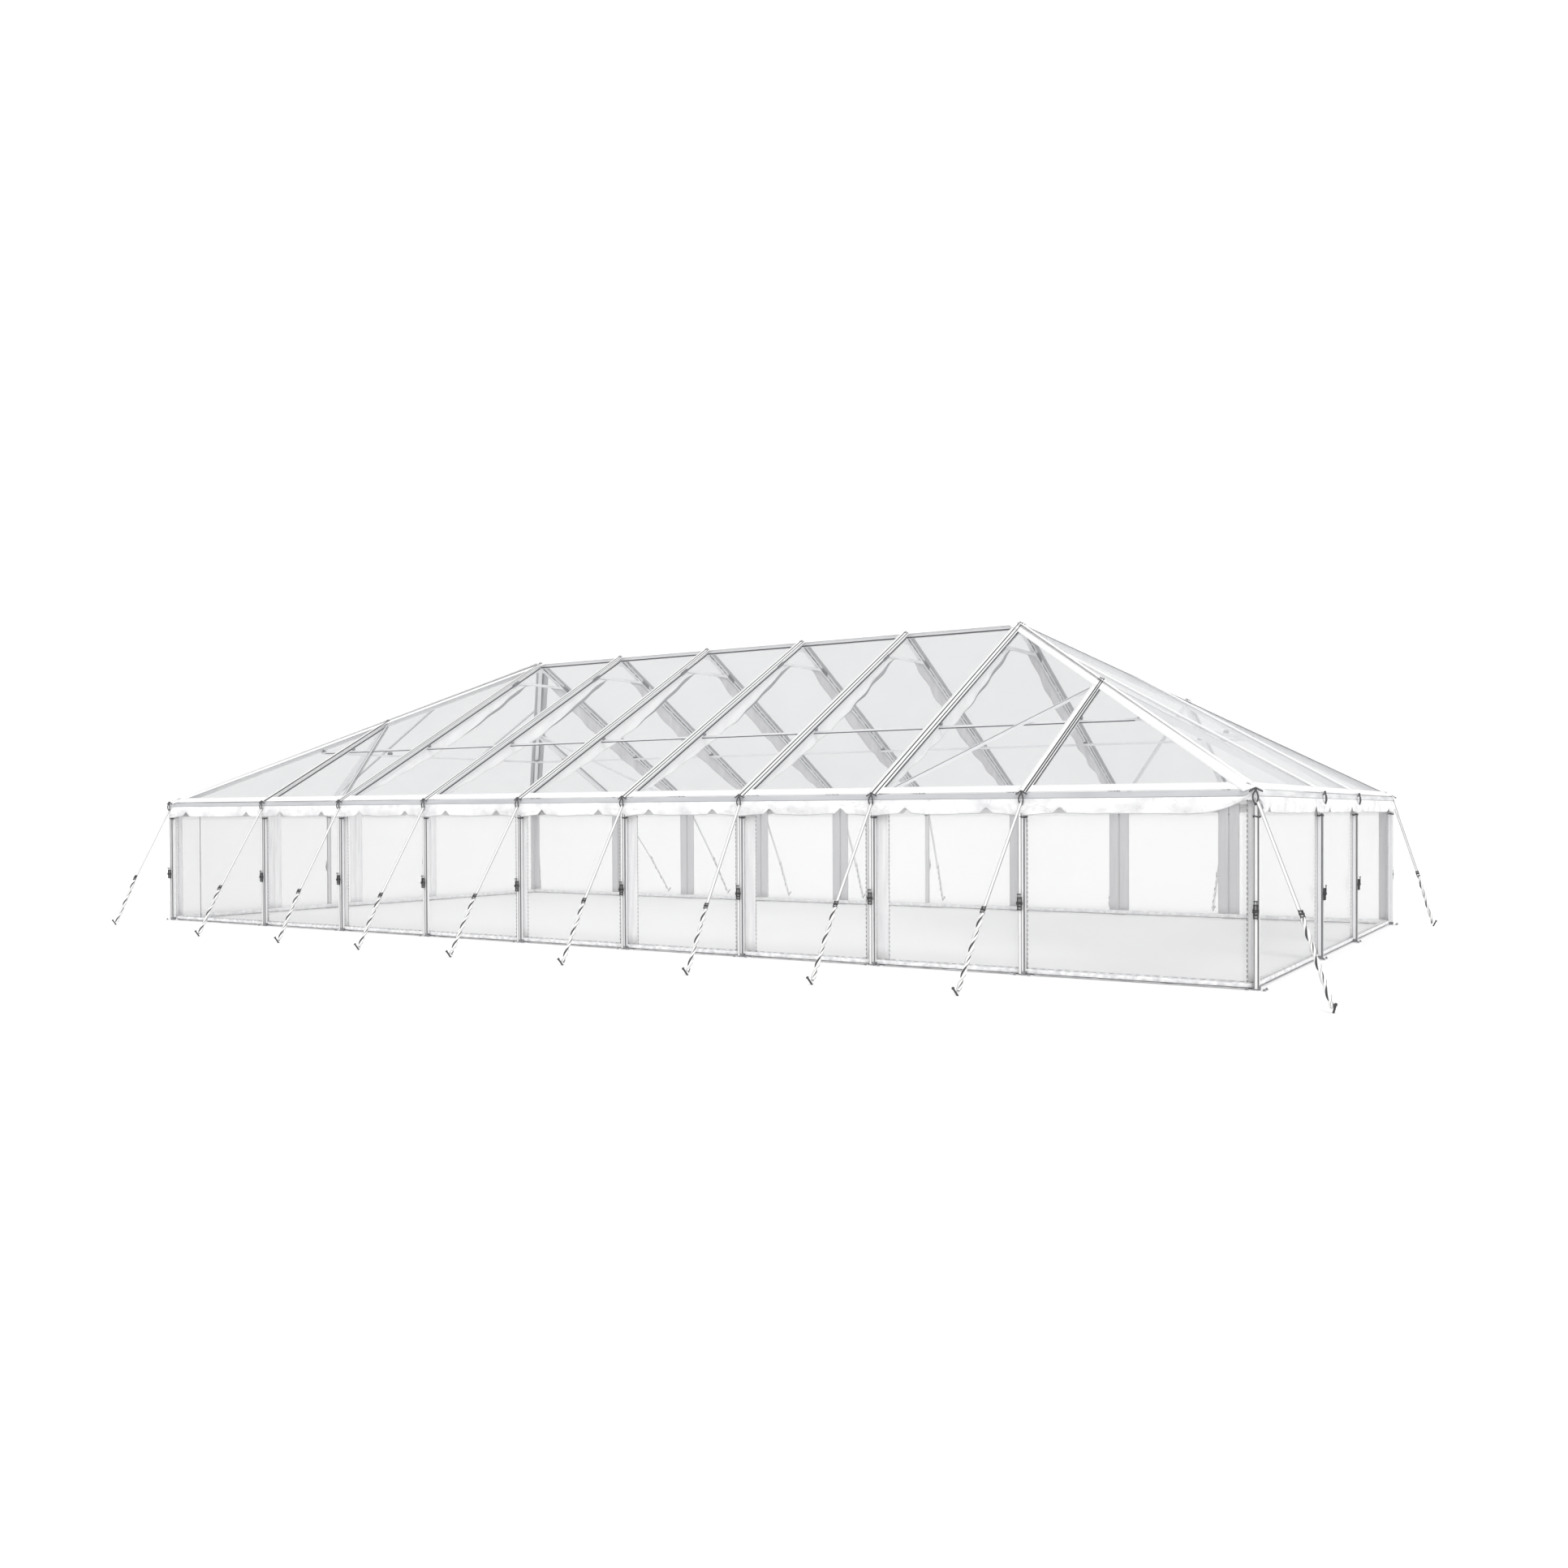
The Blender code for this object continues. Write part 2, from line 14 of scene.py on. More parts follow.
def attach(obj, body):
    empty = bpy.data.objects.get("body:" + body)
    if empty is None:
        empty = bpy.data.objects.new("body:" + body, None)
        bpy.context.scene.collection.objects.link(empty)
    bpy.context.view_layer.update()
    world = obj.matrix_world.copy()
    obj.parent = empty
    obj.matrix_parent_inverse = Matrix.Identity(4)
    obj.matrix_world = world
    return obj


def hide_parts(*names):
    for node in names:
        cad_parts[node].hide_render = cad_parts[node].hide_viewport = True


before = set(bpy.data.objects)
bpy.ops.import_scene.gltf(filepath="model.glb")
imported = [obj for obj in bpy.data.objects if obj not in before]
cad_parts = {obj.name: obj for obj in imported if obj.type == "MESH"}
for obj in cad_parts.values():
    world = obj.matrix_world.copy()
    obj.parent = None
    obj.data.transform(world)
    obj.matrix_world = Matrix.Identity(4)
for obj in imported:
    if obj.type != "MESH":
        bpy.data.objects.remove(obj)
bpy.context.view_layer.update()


# The camera stands at eye height off the right-hand front corner and looks along the long side. Its
# place and lens come from fitting the tent's posts and ridge to the photograph.
PHOTO_SIDE = 1932
FOCAL_LENGTH = 1644.355
CENTRE_DROP = 54.886
SENSOR = 36.0
EYE = Vector((16.42027, -24.77997, 2.43695))
PITCH, YAW, ROLL = -0.0116763, -0.5627825, -0.0041394

ahead = Vector((math.sin(YAW) * math.cos(PITCH), math.cos(YAW) * math.cos(PITCH), math.sin(PITCH)))
level = Vector((math.cos(YAW), -math.sin(YAW), 0.0))
upright = level.cross(ahead)
camera = bpy.data.objects.new("camera", bpy.data.cameras.new("camera"))
camera.matrix_world = Matrix((
    math.cos(ROLL) * level + math.sin(ROLL) * upright,
    math.cos(ROLL) * upright - math.sin(ROLL) * level,
    -ahead)).transposed().to_4x4()
camera.location = EYE
camera.data.sensor_width = SENSOR
camera.data.lens = FOCAL_LENGTH / PHOTO_SIDE * SENSOR
camera.data.shift_y = CENTRE_DROP / PHOTO_SIDE
camera.data.clip_end = 1500.0
bpy.context.collection.objects.link(camera)
bpy.context.scene.camera = camera


# A white studio: an even white sky, one broad soft sun over the camera's right shoulder, and a
# plain pale floor that runs out to the horizon.
FLOOR_REACH = 700.0
SKY_STRENGTH = 1.02
SUN_STRENGTH = 1.05
SUN_SPREAD = 30.0
SUN_FROM = Vector((0.75, -0.62, 1.0))
FLOOR_COLOUR = (0.93, 0.93, 0.93, 1.0)


class Wire:
    """One output of a node. Sums and products of wires add the Math nodes they need."""

    def __init__(self, tree, socket=None):
        self.tree, self.socket = tree, socket

    def fill(self, node, sockets):
        """Fill a node's sockets with values or wires."""
        for key, value in sockets.items():
            if isinstance(value, Wire):
                self.tree.links.new(value.socket, node.inputs[key])
            else:
                node.inputs[key].default_value = value

    def node(self, kind, settings, sockets, output=0):
        """Add a node, set it, fill its sockets, and return one of its outputs."""
        new = self.tree.nodes.new(kind)
        for key, value in settings.items():
            setattr(new, key, value)
        self.fill(new, sockets)
        return Wire(self.tree, new.outputs[output])

    def maths(self, operation, *values):
        return self.node("ShaderNodeMath", {"operation": operation}, dict(enumerate(values)))

    def __add__(self, other):
        return self.maths("ADD", self, other)

    def __sub__(self, other):
        return self.maths("SUBTRACT", self, other)

    def __rsub__(self, other):
        return self.maths("SUBTRACT", other, self)

    def __mul__(self, other):
        return self.maths("MULTIPLY", self, other)

    def __gt__(self, other):
        return self.maths("GREATER_THAN", self, other)

    def __lt__(self, other):
        return self.maths("LESS_THAN", self, other)

    __radd__ = __add__


class Finish(Wire):
    """A material with a Principled shader whose sockets take values or wires."""

    def __init__(self, name):
        self.material = bpy.data.materials.new(name)
        self.material.use_nodes = True
        super().__init__(self.material.node_tree)
        self.shader = self.tree.nodes["Principled BSDF"]
        self.place = self.node("ShaderNodeTexCoord", {}, {}, "Object")

    def axis(self, letter, of=None):
        """One coordinate in the tent's own space, or of another vector."""
        return self.node("ShaderNodeSeparateXYZ", {}, {"Vector": of or self.place}, letter)

    def chart(self, letter):
        """One coordinate of the piece's UV map."""
        return self.axis(letter, self.node("ShaderNodeUVMap", {"uv_map": "UVMap"}, {}))

    def grain(self, scale, stretch=(1.0, 1.0, 1.0), detail=3.0, rough=0.5):
        """Noise from 0 to 1 in the tent's own space, with so many waves a metre."""
        where = self.node("ShaderNodeMapping", {}, {"Vector": self.place, "Scale": stretch})
        return self.node("ShaderNodeTexNoise", {}, {"Vector": where, "Scale": scale,
                                                    "Detail": detail, "Roughness": rough})

    def twill(self, scale, distortion=0.0):
        """Diagonal bands, as of woven webbing or laid rope, with so many a metre."""
        return self.node("ShaderNodeTexWave", {"bands_direction": "DIAGONAL"},
                         {"Vector": self.place, "Scale": scale, "Distortion": distortion})

    def blend(self, share, *colours):
        """Mix two colours, each three numbers or a wire, by a share from 0 to 1."""
        first, second = (c if isinstance(c, Wire) else (*c, 1.0) for c in colours)
        return self.node("ShaderNodeMix", {"data_type": "RGBA"}, {0: share, 6: first, 7: second}, 2)

    def bump(self, height, strength, distance):
        """The normal that a height gives."""
        return self.node("ShaderNodeBump", {}, {"Height": height, "Strength": strength,
                                                "Distance": distance})

    def surface(self, **sockets):
        """Fill the shader's sockets and return the material."""
        self.fill(self.shader, {key.replace("_", " "): value for key, value in sockets.items()})
        return self.material


floor_mesh = bpy.data.meshes.new("floor")
floor_mesh.from_pydata([(-FLOOR_REACH, -FLOOR_REACH, 0), (FLOOR_REACH, -FLOOR_REACH, 0),
                        (FLOOR_REACH, FLOOR_REACH, 0), (-FLOOR_REACH, FLOOR_REACH, 0)], [], [(0, 1, 2, 3)])
floor = bpy.data.objects.new("floor", floor_mesh)
bpy.context.collection.objects.link(floor)
floor_mesh.materials.append(Finish("pale_floor").surface(Base_Color=FLOOR_COLOUR, Roughness=0.9))

sky = bpy.data.worlds.new("white_sky")
sky.use_nodes = True
Wire(sky.node_tree).fill(sky.node_tree.nodes["Background"],
                         {"Color": (1.0, 1.0, 1.0, 1.0), "Strength": SKY_STRENGTH})
bpy.context.scene.world = sky
bpy.context.scene.view_settings.view_transform = "Standard"

sun = bpy.data.objects.new("soft_sun", bpy.data.lights.new("soft_sun", "SUN"))
sun.data.energy = SUN_STRENGTH
sun.data.angle = math.radians(SUN_SPREAD)
sun.rotation_mode = "QUATERNION"
sun.rotation_quaternion = SUN_FROM.to_track_quat("Z", "Y")
bpy.context.collection.objects.link(sun)


# Legs, base plates and eave beams. Square aluminium extrusions on flat steel plates, joined at the
# top by a hollow eave beam. They are CAD nodes, and only get their brushed, slightly dull finish.
LENGTH, WIDTH = 24.4, 12.2
EAVE, RIDGE = 2.75, 6.16
END_BAY, MIDDLE_BAY = 3.36, 17.68 / 7
FRAME_X = [-LENGTH / 2] + [-LENGTH / 2 + END_BAY + MIDDLE_BAY * i for i in range(8)] + [LENGTH / 2]
END_POSTS = (-1.653, 1.653)
END_LINE = (-WIDTH / 2, *END_POSTS, WIDTH / 2)
LEG_HALF = 0.032
PLATE_TOP = 0.012
UP = Vector((0, 0, 1))
# Every side: its name, its sign, whether it is a long one, half its length, how far out it stands,
# and where its posts are.
LONG, SHORT = (True, LENGTH / 2, WIDTH / 2, FRAME_X), (False, WIDTH / 2, LENGTH / 2, END_LINE)
SIDES = (("front", -1, *LONG), ("back", 1, *LONG), ("left", -1, *SHORT), ("right", 1, *SHORT))


def alloy(name, dark, light, metallic, line):
    """Brushed aluminium: fine draw lines along the extrusion and a cloudy oxide on top."""
    made = Finish(name)
    cloud = made.grain(2.2, detail=5.0)
    draw = made.grain(60.0, line, detail=2.0)
    return made.surface(
        Base_Color=made.blend(cloud * 0.6 + draw * 0.4, dark, light),
        Metallic=metallic, Roughness=0.34 + cloud * 0.22,
        Normal=made.bump(draw, 0.12, 0.002))


leg_alloy = alloy("leg_alloy", (0.76, 0.76, 0.775), (0.92, 0.92, 0.925), 0.2, (1.0, 1.0, 0.03))
frame_alloy = alloy("frame_alloy", (0.74, 0.745, 0.755), (0.90, 0.90, 0.905), 0.15, (0.3, 0.3, 0.3))
for node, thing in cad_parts.items():
    if node.endswith("leg_row"):
        thing.material_slots[0].material = leg_alloy


# Keder channels on the legs. Each extrusion has an open groove down every edge of its outer faces,
# which takes the bead of a wall panel, and in the light it reads as a dark line beside the bright face.
# That dark line is painted shade: a near-black strip lies in each groove in place of its shadow.
CHANNEL_INSET = 0.0235
CHANNEL_WIDE = 0.012
CHANNEL_DEEP = 0.004
LEG_TOP = 2.59


class Growth(Wire):
    """A Geometry Nodes tree with named inputs, which ends in realised, painted geometry."""

    def __init__(self, name, **inputs):
        super().__init__(bpy.data.node_groups.new(name, "GeometryNodeTree"))
        sockets = self.tree.interface
        sockets.new_socket("Host", in_out="INPUT", socket_type="NodeSocketGeometry")
        sockets.new_socket("Geometry", in_out="OUTPUT", socket_type="NodeSocketGeometry")
        for label, kind in {**inputs, "Finish": "Material"}.items():
            sockets.new_socket(label, in_out="INPUT", socket_type="NodeSocket" + kind)
        outputs = self.tree.nodes.new("NodeGroupInput").outputs
        self.given = {socket.name: Wire(self.tree, socket) for socket in outputs}

    def attribute(self, name, kind="FLOAT_VECTOR"):
        return self.node("GeometryNodeInputNamedAttribute", {"data_type": kind}, {"Name": name})

    def store(self, geometry, name, value, kind="FLOAT", domain="POINT"):
        """Keep a field on the geometry under a name."""
        return self.node("GeometryNodeStoreNamedAttribute", {"data_type": kind, "domain": domain},
                         {"Geometry": geometry, "Name": name, "Value": value})

    def end(self, geometry):
        """Realise and paint the geometry, and finish the tree."""
        whole = self.node("GeometryNodeRealizeInstances", {}, {"Geometry": geometry})
        painted = self.node("GeometryNodeSetMaterial", {},
                            {"Geometry": whole, "Material": self.given["Finish"]})
        self.fill(self.tree.nodes.new("NodeGroupOutput"), {"Geometry": painted})

    def repeat(self, points, shape, heading):
        """Put a shape on every point, facing the way that the point has stored, and finish the tree."""
        turned = self.node("FunctionNodeAxesToRotation", {"primary_axis": "Z", "secondary_axis": "X"},
                           {"Primary Axis": self.attribute("facing"), "Secondary Axis": heading})
        self.end(self.node("GeometryNodeInstanceOnPoints", {},
                           {"Points": points, "Instance": shape, "Rotation": turned}))


def placed(name, mesh, slot, *stands_for):
    """Put a finished mesh in the tent as a piece, and hide the CAD nodes it stands for. The slot is not
    used.
    """
    piece = bpy.data.objects.new(name, mesh)
    mesh.name = name
    bpy.context.collection.objects.link(piece)
    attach(piece, "root")
    if stands_for:
        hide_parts(*stands_for)
    return piece


def grown(name, growth, host, slot, *stands_for, **inputs):
    """Run a tree on a host mesh and keep what it makes as a plain mesh piece."""
    seed = bpy.data.objects.new("seed", host)
    bpy.context.collection.objects.link(seed)
    modifier = seed.modifiers.new("growth", "NODES")
    modifier.node_group = growth.tree
    for socket in growth.tree.interface.items_tree:
        if socket.in_out == "INPUT" and socket.name in inputs:
            modifier[socket.identifier] = inputs[socket.name]
    graph = bpy.context.evaluated_depsgraph_get()
    mesh = bpy.data.meshes.new_from_object(seed.evaluated_get(graph), depsgraph=graph)
    bpy.data.objects.remove(seed)
    placed(name, mesh, slot, *stands_for)


def lines(paths):
    """A host mesh of open lines. Each is its points and the way that its strip faces."""
    points, edges, facing = [], [], []
    for path, face in paths:
        edges += [(len(points) + i, len(points) + i + 1) for i in range(len(path) - 1)]
        points += path
        facing += list(Vector(face).normalized()) * len(path)
    mesh = bpy.data.meshes.new("lines")
    mesh.from_pydata(points, edges, [])
    mesh.attributes.new("facing", "FLOAT_VECTOR", "POINT").data.foreach_set("vector", facing)
    return mesh


def steps(start, end, count):
    """Points along a straight line, both ends included."""
    return [Vector(start).lerp(Vector(end), i / count) for i in range(count + 1)]


def even(low, high, count):
    """Evenly spaced numbers, both ends included."""
    return [low + (high - low) * i / count for i in range(count + 1)]


strip = Growth("strip_along_lines", Wide="Float", Thick="Float", Twist="Float", Taper="Float")
curve = strip.node("GeometryNodeMeshToCurve", {}, {"Mesh": strip.given["Host"]})
curve = strip.node("GeometryNodeSetCurveNormal", {"mode": "FREE"},
                   {"Curve": curve, "Normal": strip.attribute("facing")})
length = strip.node("GeometryNodeSplineParameter", {}, {}, "Length")
share = strip.node("GeometryNodeSplineParameter", {}, {}, "Factor")
curve = strip.node("GeometryNodeSetCurveTilt", {}, {"Curve": curve, "Tilt": length * strip.given["Twist"]})
curve = strip.node("GeometryNodeSetCurveRadius", {},
                   {"Curve": curve, "Radius": 1.0 - share * strip.given["Taper"]})
profile = strip.node("GeometryNodeCurvePrimitiveQuadrilateral", {"mode": "RECTANGLE"},
                     {"Width": strip.given["Thick"], "Height": strip.given["Wide"]})
swept = strip.node("GeometryNodeCurveToMesh", {}, {
    "Curve": strip.store(curve, "along", length), "Profile Curve": strip.store(profile, "across", share),
    "Fill Caps": True})
unrolled = strip.node("ShaderNodeCombineXYZ", {}, {"X": strip.attribute("across", "FLOAT"),
                                                   "Y": strip.attribute("along", "FLOAT")})
strip.end(strip.store(swept, "UVMap", unrolled, "FLOAT2", "CORNER"))


def strips(name, paths, slot, finish, wide, thick, *stands_for, twist=0.0, taper=0.0):
    """Lay a flat strip along every path and keep them all as one piece."""
    grown(name, strip, lines(paths), slot, *stands_for, Wide=wide, Thick=thick, Twist=twist,
          Taper=taper, Finish=finish)


# Near-black finish with a faint mottle. On the leg and frame groove strips it is painted shade in place of
# the shadow in the grooves; on the roof beads it is the cord's colour and also painted shade of the rafter's
# side; on the wall lacing it is the cord's own colour.
groove = Finish("keder_groove")
shade_and_cord_dark = groove.surface(
    Base_Color=groove.blend(groove.grain(30.0), (0.02, 0.02, 0.022), (0.06, 0.06, 0.065)),
    Roughness=0.55)

# Every post: its place, the way it faces outwards, and the way along its side.
POSTS = [(x, y, out, Vector((out.y, -out.x, 0))) for x, y, out in
         [(x, sign * WIDTH / 2, Vector((0, sign, 0))) for sign in (-1, 1) for x in FRAME_X]
         + [(sign * LENGTH / 2, y, Vector((sign, 0, 0))) for sign in (-1, 1) for y in END_POSTS]]
channels = []
for x, y, out, side in POSTS:
    for face, run, insets in ((out, side, (-CHANNEL_INSET, CHANNEL_INSET)), (side, out, (CHANNEL_INSET,)),
                              (-side, out, (CHANNEL_INSET,))):
        for inset in insets:
            foot = Vector((x, y, 0)) + face * LEG_HALF + run * inset
            channels.append(([foot + UP * PLATE_TOP, foot + UP * LEG_TOP], face))
strips("leg_channels", channels, "leg_alloy", shade_and_cord_dark, CHANNEL_WIDE, CHANNEL_DEEP)


# Ground pins and foot collars. A round-headed steel pin goes through each corner of a base plate, and
# a pressed collar holds the leg's foot.
PIN_RADIUS, PIN_HEIGHT = 0.017, 0.032
PIN_ALONG, PIN_OUT = 0.112, 0.072
FLANGE_RADIUS, FLANGE_THICK = PIN_RADIUS * 1.5, 0.004
COLLAR_SIDE, COLLAR_HEIGHT = 0.086, 0.055

fitting = Growth("fittings_on_points", Shape="Object")
shape = fitting.node("GeometryNodeObjectInfo", {}, {"Object": fitting.given["Shape"]}, "Geometry")
fitting.repeat(fitting.given["Host"], shape, fitting.attribute("heading"))


def places(spots):
    """A host mesh of points. Each is a place, the way its fitting faces, and the way it heads."""
    mesh = bpy.data.meshes.new("places")
    mesh.from_pydata([spot[0] for spot in spots], [], [])
    for index, name in ((1, "facing"), (2, "heading")):
        layer = mesh.attributes.new(name, "FLOAT_VECTOR", "POINT")
        layer.data.foreach_set("vector", [c for spot in spots for c in spot[index]])
    return mesh


def block(bm, low, high, bevel=0.0):
    """Add a box with its edges eased."""
    made = bmesh.ops.create_cube(bm, size=1.0)["verts"]
    low, high = (Vector([pick(pair) for pair in zip(low, high)]) for pick in (min, max))
    for vert in made:
        vert.co = (low + high) / 2 + Vector(a * b for a, b in zip(vert.co, high - low))
    if bevel:
        edges = list(dict.fromkeys(edge for vert in made for edge in vert.link_edges))
        bmesh.ops.bevel(bm, geom=edges, offset=bevel, segments=1, affect="EDGES")


def drum(bm, start, end, radius, top_radius=None, sides=10):
    """Add a round bar or a cone between two points."""
    start, end = Vector(start), Vector(end)
    turn = (end - start).to_track_quat("Z", "Y").to_matrix().to_4x4()
    bmesh.ops.create_cone(bm, cap_ends=True, segments=sides, radius1=radius,
                          radius2=radius if top_radius is None else top_radius,
                          depth=(end - start).length, matrix=Matrix.Translation((start + end) / 2) @ turn)


def meshed(name, bm, finish=None):
    """Turn a shape into a mesh, painted if it has a finish."""
    mesh = bpy.data.meshes.new(name)
    bm.to_mesh(mesh)
    bm.free()
    if finish:
        mesh.materials.append(finish)
    return mesh


def fitted(name, bm, spots, slot, finish):
    """Repeat a small shape at every spot and keep the result as one piece."""
    shape = bpy.data.objects.new("pattern", meshed("pattern", bm))
    bpy.context.collection.objects.link(shape)
    grown(name, fitting, places(spots), slot, Shape=shape, Finish=finish)
    bpy.data.objects.remove(shape)


zinc = Finish("zinc_steel")
spangle = zinc.node("ShaderNodeTexVoronoi", {}, {"Vector": zinc.place, "Scale": 90.0}, "Color")
zinc_steel = zinc.surface(
    Base_Color=zinc.blend(zinc.grain(14.0, detail=5.0), (0.16, 0.16, 0.17), (0.42, 0.42, 0.43)),
    Metallic=0.7, Roughness=0.38 + zinc.grain(25.0) * 0.25,
    Normal=zinc.bump(zinc.node("ShaderNodeSeparateColor", {}, {"Color": spangle}), 0.08, 0.001))

pin = bmesh.new()
drum(pin, (0, 0, 0), (0, 0, FLANGE_THICK), FLANGE_RADIUS, sides=12)
drum(pin, (0, 0, FLANGE_THICK), (0, 0, PIN_HEIGHT * 0.7), PIN_RADIUS, PIN_RADIUS * 0.9)
drum(pin, (0, 0, PIN_HEIGHT * 0.7), (0, 0, PIN_HEIGHT), PIN_RADIUS * 0.9, PIN_RADIUS * 0.45)
collar = bmesh.new()
outer, inner = COLLAR_SIDE / 2, LEG_HALF + CHANNEL_DEEP
for sign in (-1, 1):
    block(collar, (sign * inner, -outer, 0), (sign * outer, outer, COLLAR_HEIGHT), 0.002)
    block(collar, (-inner, sign * inner, 0), (inner, sign * outer, COLLAR_HEIGHT), 0.002)
pins, collars = [], []
for x, y, out, side in POSTS:
    foot = Vector((x, y, PLATE_TOP))
    collars.append((foot, UP, side))
    pins += [(foot + side * a * PIN_ALONG + out * b * PIN_OUT, UP, side) for a in (-1, 1) for b in (-1, 1)]
fitted("ground_pins", pin, pins, "leg_alloy", zinc_steel)
fitted("foot_collars", collar, collars, "leg_alloy", zinc_steel)


# Roof frame: six arches of rafters with a collar tie, the ridge beam, four hip frames with jack
# rafters and braces, and the purlin ring. They are CAD nodes in dull aluminium box section.
for node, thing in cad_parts.items():
    if node.startswith("arch_") or node.endswith("hip_frame") or node in ("ridge_beam", "purlin_ring"):
        thing.material_slots[0].material = frame_alloy

ARCHES = FRAME_X[2:8]
JACKS = [FRAME_X[1], FRAME_X[8]]
SIDE_PITCH = (RIDGE - EAVE) / (WIDTH / 2)
HIP_RUN = LENGTH / 2 - ARCHES[-1]
END_PITCH = (RIDGE - EAVE) / HIP_RUN
PURLIN_Y, PURLIN_X, PURLIN_Z = 3.6905, 9.875, 3.912
SIDE_UP = {sign: Vector((0, sign * SIDE_PITCH, 1)).normalized() for sign in (-1, 1)}
END_UP = {sign: Vector((sign * END_PITCH, 0, 1)).normalized() for sign in (-1, 1)}


def on_side(x, y, lift=0.0):
    """A point on the outer face of a long slope, raised square to it."""
    sign = -1 if y < 0 else 1
    return Vector((x, y, EAVE + (WIDTH / 2 - abs(y)) * SIDE_PITCH)) + SIDE_UP[sign] * lift


def on_end(x, y, lift=0.0):
    """A point on the outer face of a hip end, raised square to it."""
    sign = -1 if x < 0 else 1
    return Vector((x, y, EAVE + (LENGTH / 2 - abs(x)) * END_PITCH)) + END_UP[sign] * lift


def hip_y(x):
    """How far from the centre line the hip is at x."""
    return WIDTH / 2 * (1 - (LENGTH / 2 - abs(x)) / HIP_RUN)


# Clamps and plates of the frame: a cast clamp wherever a rafter or hip crosses the purlin, a bolted
# plate at both ends of each collar tie, and a cap where members meet on the ridge and on the hips.
clamp = bmesh.new()
block(clamp, (-0.055, -0.040, -0.030), (0.055, 0.040, 0.030), 0.006)
for a in (-0.034, 0.034):
    drum(clamp, (a, 0, 0.030), (a, 0, 0.046), 0.013, sides=6)
ALONG, ACROSS = Vector((1, 0, 0)), Vector((0, 1, 0))
CLAMP_UP, CORNER_CLAMP_UP = 0.055, 0.045
clamps = []
for sign in (-1, 1):
    clamps += [(Vector((x, sign * PURLIN_Y, PURLIN_Z + CLAMP_UP)), SIDE_UP[sign], ALONG)
               for x in ARCHES + JACKS]
    clamps += [(Vector((sign * PURLIN_X, y, PURLIN_Z + CLAMP_UP)), END_UP[sign], ACROSS) for y in END_POSTS]
    clamps += [(Vector((sign * PURLIN_X, y, PURLIN_Z + CORNER_CLAMP_UP)), UP, ALONG)
               for y in (-PURLIN_Y, PURLIN_Y)]
fitted("purlin_clamps", clamp, clamps, "frame_alloy", zinc_steel)

TIE_Z = 5.61
PLATE_OUT, PLATE_Y, PLATE_DROP = 0.038, 0.92, 0.042
plate = bmesh.new()
block(plate, (-0.13, -0.045, -0.003), (0.13, 0.045, 0.003), 0.002)
for a, b in ((-0.09, 0.02), (-0.04, -0.02), (0.05, 0.0), (0.1, 0.0)):
    drum(plate, (a, b, 0.003), (a, b, 0.014), 0.011, sides=6)
tie_plates = [(Vector((x + face * PLATE_OUT, sign * PLATE_Y, TIE_Z - PLATE_DROP)), Vector((face, 0, 0)),
               Vector((0, sign, -SIDE_PITCH)).normalized())
              for x in ARCHES for face in (-1, 1) for sign in (-1, 1)]
fitted("tie_plates", plate, tie_plates, "frame_alloy", zinc_steel)

cap = bmesh.new()
block(cap, (-0.042, -0.030, -0.012), (0.042, 0.030, 0.012), 0.006)
drum(cap, (0, 0, 0.012), (0, 0, 0.028), 0.020, 0.012, sides=12)
RIDGE_CAP_UP, HIP_CAP_UP = 0.004, 0.012
caps = [(Vector((x, 0, RIDGE + RIDGE_CAP_UP)), UP, ACROSS) for x in ARCHES]
for sign in (-1, 1):
    for side in (-1, 1):
        x = sign * JACKS[1]
        caps.append((on_side(x, side * hip_y(x), HIP_CAP_UP), UP,
                     Vector((sign, -side * WIDTH / 2 / HIP_RUN, 0))))
fitted("ridge_caps", cap, caps, "frame_alloy", zinc_steel)


# Grooves of the frame sections. The rafters and the front jacks are extrusions with an open channel
# along both sides, the ridge beam and the front purlin have one at their lower edge, and the front
# braces have two. Each is a dark strip of painted shade, for the shadow in the channel and on the
# member's shaded side and lower edge.
GROOVE_DROP, GROOVE_WIDE, EDGE_WIDE, GROOVE_DEEP = 0.085, 0.028, 0.015, 0.003
GROOVE_FOOT, GROOVE_HEAD = 5.98, 0.10
RAFTER_HALF, BRACE_HALF, PURLIN_HALF, RIDGE_HALF = 0.036, 0.026, 0.026, 0.041
RIDGE_GROOVE, PURLIN_GROOVE = 6.048, PURLIN_Z - 0.019
RIDGE_SHORT, PURLIN_SHORT = 0.05, 0.1
BRACE_DROPS = (0.050, 0.081)
BRACE_LOW, BRACE_HIGH = (ARCHES[-1] + 0.168, -5.95), (8.72, -2.787)
